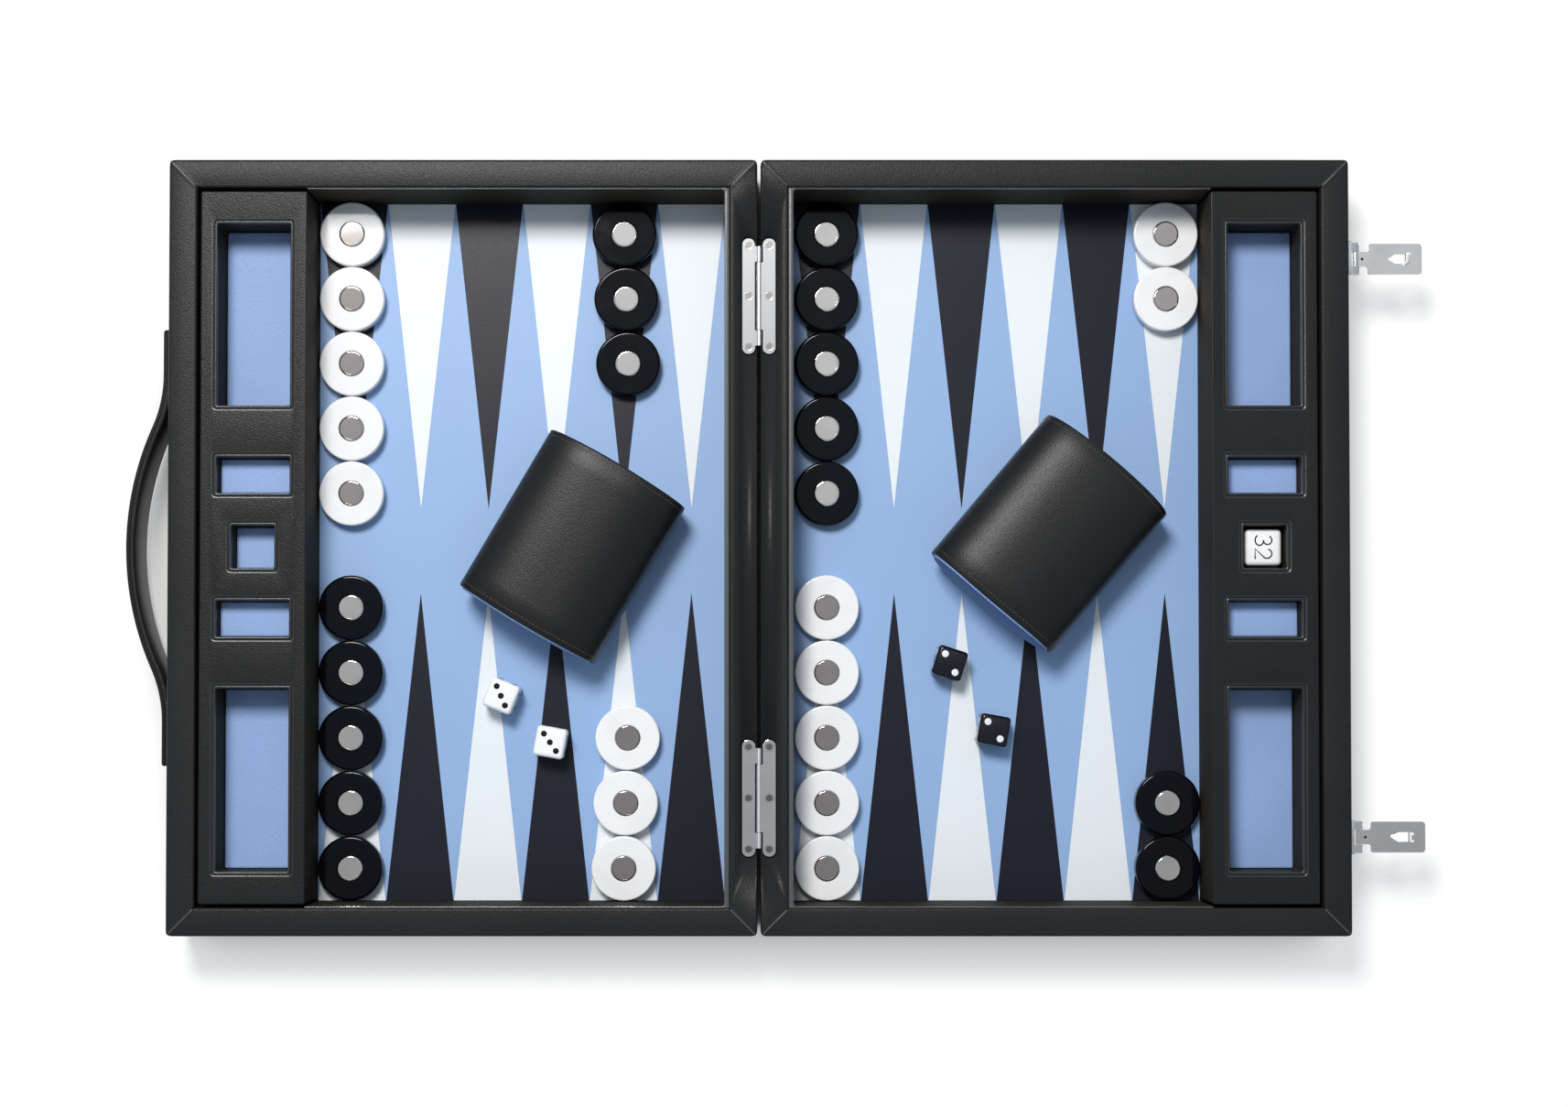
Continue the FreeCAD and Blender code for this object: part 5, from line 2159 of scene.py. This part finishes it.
PIP_SPOTS = {
    1: [(0, 0)],
    2: [(-1, 1), (1, -1)],
    3: [(-1, 1), (0, 0), (1, -1)],
    4: [(-1, 1), (1, -1), (1, 1), (-1, -1)],
    5: [(-1, 1), (0, 0), (1, -1), (1, 1), (-1, -1)],
    6: [(-1, 1), (1, -1), (1, 1), (-1, -1), (-1, 0), (1, 0)],
}


def cube_sides() -> list[Matrix]:
    """Turns that bring +z to the top, front, right, left, back and bottom of a cube.

    Returns:
        One turn for each side, in that order.
    """
    quarter = math.pi / 2
    return [
        Matrix.Identity(4),
        Matrix.Rotation(quarter, 4, "X"),
        Matrix.Rotation(quarter, 4, "Y"),
        Matrix.Rotation(-quarter, 4, "Y"),
        Matrix.Rotation(-quarter, 4, "X"),
        Matrix.Rotation(math.pi, 4, "X"),
    ]


def soft_cube(size: float, radius: float) -> Shape:
    """A cube centred on the origin, its edges and corners well rounded.

    Args:
        size: length of a side.
        radius: of the rounded edges.

    Returns:
        The cube.
    """
    shape = Shape()
    bmesh.ops.create_cube(shape.bm, size=size)
    shape.soften(radius, 5, 40)
    return shape


@dataclass
class Die:
    """One die: rounded cube and drilled, painted pips."""

    node: str
    turn: float
    sides: tuple[int, ...]
    pip: float
    finish: Finish
    paint: Finish
    spacing: float = 3.9
    radius: float = 2.0
    pip_depth: float = 0.25
    pip_rise: float = 0.035

    def build(self) -> None:
        """Makes the cube, and its pips by copying one pip on to every spot."""
        box = extent(self.node)
        size = box.size.z
        centre = Vector((box.middle.x + FOLD.x, box.middle.y, box.middle.z))
        spin = Matrix.Rotation(math.radians(self.turn), 4, "Z")
        place = Matrix.Scale(MM, 4) @ Matrix.Translation(centre) @ spin
        cube = soft_cube(size, self.radius).finish(f"{self.node}_cube", [self.finish], place)
        settle(cube, self.node, [self.node])
        pattern = Shape()
        r, low, high = self.pip / 2, -self.pip_depth, self.pip_rise
        pattern.lathe([(0, low), (r, low), (r, 0.0), (r - 0.12, high), (0, high)], 20)
        points, turns = [], []
        for number, side in zip(self.sides, cube_sides()):
            for x, y in PIP_SPOTS[number]:
                spot = side @ Vector((x * self.spacing, y * self.spacing, size / 2))
                points.append(place @ spot)
                turns.append(Vector((spin @ side).to_euler()))
        pip = pattern.finish("pip_pattern", [self.paint], Matrix.Scale(MM, 4))
        pips = copies(f"{self.node}_pips", pip, points, turns, self.paint)
        settle(pips, self.node)


def digit_strokes(digit: str) -> list[list[Point2]]:
    """The strokes of a plain digit in a box one wide and one high.

    Args:
        digit: one of 1, 2, 3, 4, 6 and 8.

    Returns:
        The points of each stroke in order.
    """

    def bow(cx: float, cy: float, rx: float, ry: float, start: float, end: float) -> list[Point2]:
        """Points along a part of an ellipse that starts and ends at two angles in degrees."""
        angles = [math.radians(start + (end - start) * i / 16) for i in range(17)]
        return [(cx + rx * math.cos(a), cy + ry * math.sin(a)) for a in angles]

    strokes = {
        "1": [[(0.2, 0.78), (0.55, 1.0), (0.55, 0.0)]],
        "2": [bow(0.48, 0.71, 0.45, 0.29, 165, -35) + [(0.0, 0.0), (1.0, 0.0)]],
        "3": [bow(0.46, 0.75, 0.42, 0.25, 155, -90), bow(0.46, 0.26, 0.5, 0.26, 90, -155)],
        "4": [[(0.72, 0.0), (0.72, 1.0), (0.0, 0.3), (1.0, 0.3)]],
        "6": [
            bow(0.5, 0.31, 0.46, 0.31, 90, 450),
            [(0.05, 0.36), (0.12, 0.6), (0.35, 0.86), (0.7, 1.0)],
        ],
        "8": [bow(0.5, 0.75, 0.4, 0.25, -90, 270), bow(0.5, 0.26, 0.5, 0.26, 90, 450)],
    }
    return strokes[digit]


@dataclass
class DoublingCube:
    """The marker cube with a power of two on each side."""

    node: str = "doubling_cube"
    radius: float = 2.4
    figures: tuple[str, ...] = ("32", "4", "8", "16", "64", "2")
    height: float = 8.6
    digit: float = 5.35
    spacing: float = 1.5
    stroke: float = 0.74
    flatness: float = 0.06

    def figure(self, text: str, place: Matrix) -> bpy.types.Object:
        """One number in thin painted strokes, as a mesh already in place.

        Args:
            text: the number.
            place: from the figure's own millimetres to metres in the frame.

        Returns:
            The figure as an object.
        """
        curve = bpy.data.curves.new(f"figure_{text}", "CURVE")
        curve.dimensions = "3D"
        curve.bevel_depth = self.stroke / 2
        curve.bevel_resolution = 2
        pitch = self.digit + self.spacing
        left = -(len(text) * pitch - self.spacing) / 2
        for number, digit in enumerate(text):
            for line in digit_strokes(digit):
                spline = curve.splines.new("POLY")
                spline.points.add(len(line) - 1)
                for point, (x, y) in zip(spline.points, line):
                    across = left + number * pitch + x * self.digit
                    point.co = (across, (y - 0.5) * self.height, 0, 1)
        holder = placed(f"figure_{text}", curve)
        mesh = plain_mesh(holder)
        bpy.data.objects.remove(holder)
        mesh.transform(place @ Matrix.Diagonal((1, 1, self.flatness, 1)))
        mesh.materials.clear()
        mesh.materials.append(BLACK_PAINT.material())
        return placed(f"{self.node}_figure_{text}", mesh)

    def build(self) -> None:
        """Makes the cube and its six numbers."""
        box = extent(self.node)
        centre = Vector((box.middle.x + FOLD.x, box.middle.y, box.middle.z))
        place = Matrix.Scale(MM, 4) @ Matrix.Translation(centre)
        cube = soft_cube(box.size.z, self.radius)
        cube = cube.finish("doubling_cube_block", [IVORY_DICE], place)
        settle(cube, self.node, [self.node])
        quarter = Matrix.Rotation(-math.pi / 2, 4, "Z")
        for text, side in zip(self.figures, cube_sides()):
            lifted = Matrix.Translation((0, 0, box.size.z / 2))
            figure = self.figure(text, place @ side @ lifted @ quarter)
            settle(figure, self.node)


# ---------------------------------------------------------------- studio


@dataclass
class Studio:
    """Pale floor, soft light from above and the camera that looks straight down."""

    camera_height: float = 1.3665
    camera_y: float = -0.0812
    tilt: float = 1.364
    lens: float = 59.02
    shift: Point2 = (0.016, 0.0573)
    floor_reach: float = 6.0
    floor_drop: float = 0.0005
    floor_colour: Colour = (0.5, 0.49, 0.475)
    floor_glow: float = 0.58
    # The painted shadow beside the set, where the floor's glow is cut back: from how far away, on
    # which side, and how open it is where its glow starts and where it is full.
    shade_reach: float = 0.04
    shade_side: tuple[float, float, float] = (-0.5, 0.5, 0.71)
    shade_range: Point2 = (0.1, 0.87)
    lamp_place: tuple[float, float, float] = (-0.42, 0.91, 1.9)
    lamp_size: float = 0.56
    lamp_power: float = 40.0
    lamp_colour: Colour = (1.0, 0.985, 0.96)
    # Overhead there is a darker patch: its light, and what the far side adds to it.
    patch: float = 0.34
    patch_rise: float = 0.32
    patch_rise_range: Point2 = (-0.08, 0.22)
    patch_colour: Colour = (0.88, 0.94, 1.0)
    # Where the patch gives way to the open sky, aside and ahead, as slopes.
    patch_side_range: Point2 = (0.26, 0.36)
    patch_end_range: Point2 = (0.3, 0.5)
    sky: float = 0.42
    sky_colour: Colour = (0.72, 0.85, 1.0)

    def camera(self) -> None:
        """The camera above the set, leaning a little."""
        data = bpy.data.cameras.new("camera")
        data.sensor_width = 36.0
        data.lens = self.lens
        data.shift_x, data.shift_y = self.shift
        data.clip_start, data.clip_end = 0.05, 50.0
        made = placed("camera", data)
        made.location = (FOLD.x * MM, self.camera_y, self.camera_height)
        made.rotation_euler = (math.radians(self.tilt), 0, 0)
        bpy.context.scene.camera = made

    def floor(self) -> None:
        """A large pale floor that shows white to the camera but keeps the shadow, its glow cut
        back beside the set as a painted shadow.
        """
        mesh = bpy.data.meshes.new("floor")
        r = self.floor_reach
        mesh.from_pydata([(-r, -r, 0), (r, -r, 0), (r, r, 0), (-r, r, 0)], [], [(0, 1, 2, 3)])
        made = placed("floor", mesh)
        made.location.z = -self.floor_drop
        material = bpy.data.materials.new("pale_floor")
        material.use_nodes = True
        w = Wiring(material.node_tree)
        path = w.add("ShaderNodeLightPath")
        seen = w.math("MAXIMUM", path.outputs["Is Camera Ray"], path.outputs["Is Glossy Ray"])
        # Painted shadow: the glow fades where the floor is hemmed in by the set, more on the side
        # away from the lamp.
        openness = w.add("ShaderNodeAmbientOcclusion", {"Distance": self.shade_reach}, samples=8)
        openness.inputs["Normal"].default_value = self.shade_side
        glow_outside_painted_shadow = w.ramp(openness.outputs["AO"], *self.shade_range)
        glow = w.math("MULTIPLY", w.math("MULTIPLY", seen, self.floor_glow), glow_outside_painted_shadow)
        shader = w.add(
            "ShaderNodeBsdfPrincipled",
            {
                "Base Color": rgba(self.floor_colour),
                "Roughness": 0.9,
                "Emission Color": (1, 1, 1, 1),
                "Emission Strength": glow,
                "Specular IOR Level": 0.0,
            },
        )
        w.add("ShaderNodeOutputMaterial", {0: shader.outputs[0]})
        mesh.materials.append(material)
        made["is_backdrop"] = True

    def lamp(self) -> None:
        """One soft square lamp, high on the far left, aimed at the middle of the fold."""
        data = bpy.data.lights.new("key", "AREA")
        data.shape = "SQUARE"
        data.size = self.lamp_size
        data.energy = self.lamp_power
        data.color = self.lamp_colour
        made = placed("key", data)
        place = Vector(self.lamp_place)
        made.location = place
        made.rotation_euler = (-place).to_track_quat("-Z", "Y").to_euler()

    def world(self) -> None:
        """A soft surround with a darker patch overhead that brightens towards the far side."""
        made = bpy.data.worlds.new("surround")
        made.use_nodes = True
        w = Wiring(made.node_tree)
        way = w.add("ShaderNodeSeparateXYZ", {0: w.add("ShaderNodeTexCoord").outputs["Object"]})
        # Near the horizon the slopes would grow without end.
        up = w.math("MAXIMUM", way.outputs["Z"], 0.05)
        aside = w.math("DIVIDE", way.outputs["X"], up)
        ahead = w.math("DIVIDE", way.outputs["Y"], up)
        beside = w.ramp(w.math("ABSOLUTE", aside), *self.patch_side_range)
        beyond = w.ramp(w.math("ABSOLUTE", ahead), *self.patch_end_range)
        open_sky = w.math("MAXIMUM", beside, beyond)
        far = w.ramp(ahead, *self.patch_rise_range)
        patch = w.math("MULTIPLY_ADD", far, self.patch_rise, self.patch)
        strength = w.math(
            "ADD",
            w.math("MULTIPLY", open_sky, self.sky),
            w.math("MULTIPLY", w.math("SUBTRACT", 1.0, open_sky), patch),
        )
        tint = w.mix(open_sky, rgba(self.patch_colour), rgba(self.sky_colour))
        sky = w.add("ShaderNodeBackground", {"Color": tint, "Strength": strength})
        w.add("ShaderNodeOutputWorld", {0: sky.outputs[0]})
        bpy.context.scene.world = made

    def build(self) -> None:
        """Sets up everything that isn't part of the object."""
        self.camera()
        self.floor()
        self.world()
        self.lamp()
        bpy.context.scene.view_settings.view_transform = "Standard"


# ---------------------------------------------------------------- the whole set


def main() -> None:
    """Builds every piece in order."""
    logging.basicConfig(level=logging.INFO, format="%(name)s: %(message)s")
    Studio().build()
    for half in Half:
        CaseHalf(half).build()
        Board(half).build()
        Tray(half).build()
        HingeLeaf(half).build()
    for side in Side:
        Latch(side).build()
    redress("latch_pins", NICKEL)
    redress("catches", NICKEL)
    Handle().build()
    Checkers().build()
    DiceCup(Half.LEFT, 239.5).build()
    DiceCup(Half.RIGHT, 229.8).build()
    # The numbers on each die's top, front, right, left, back and bottom.
    white = (3, 1, 2, 5, 6, 4)
    black = (2, 1, 3, 4, 6, 5)
    Die("white_die_one", -22.0, white, 3.2, IVORY_DICE, BLACK_PAINT).build()
    Die("white_die_two", -10.5, white, 3.2, IVORY_DICE, BLACK_PAINT).build()
    Die("black_die_one", -17.9, black, 3.6, BLACK_DICE, WHITE_PAINT).build()
    Die("black_die_two", -10.1, black, 3.6, BLACK_DICE, WHITE_PAINT).build()
    DoublingCube().build()
    boxes = {"cad": CAD_BOX, "visual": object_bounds()}
    {key: [list(corner) for corner in box] for key, box in boxes.items()}


if __name__ == "__main__":
    main()
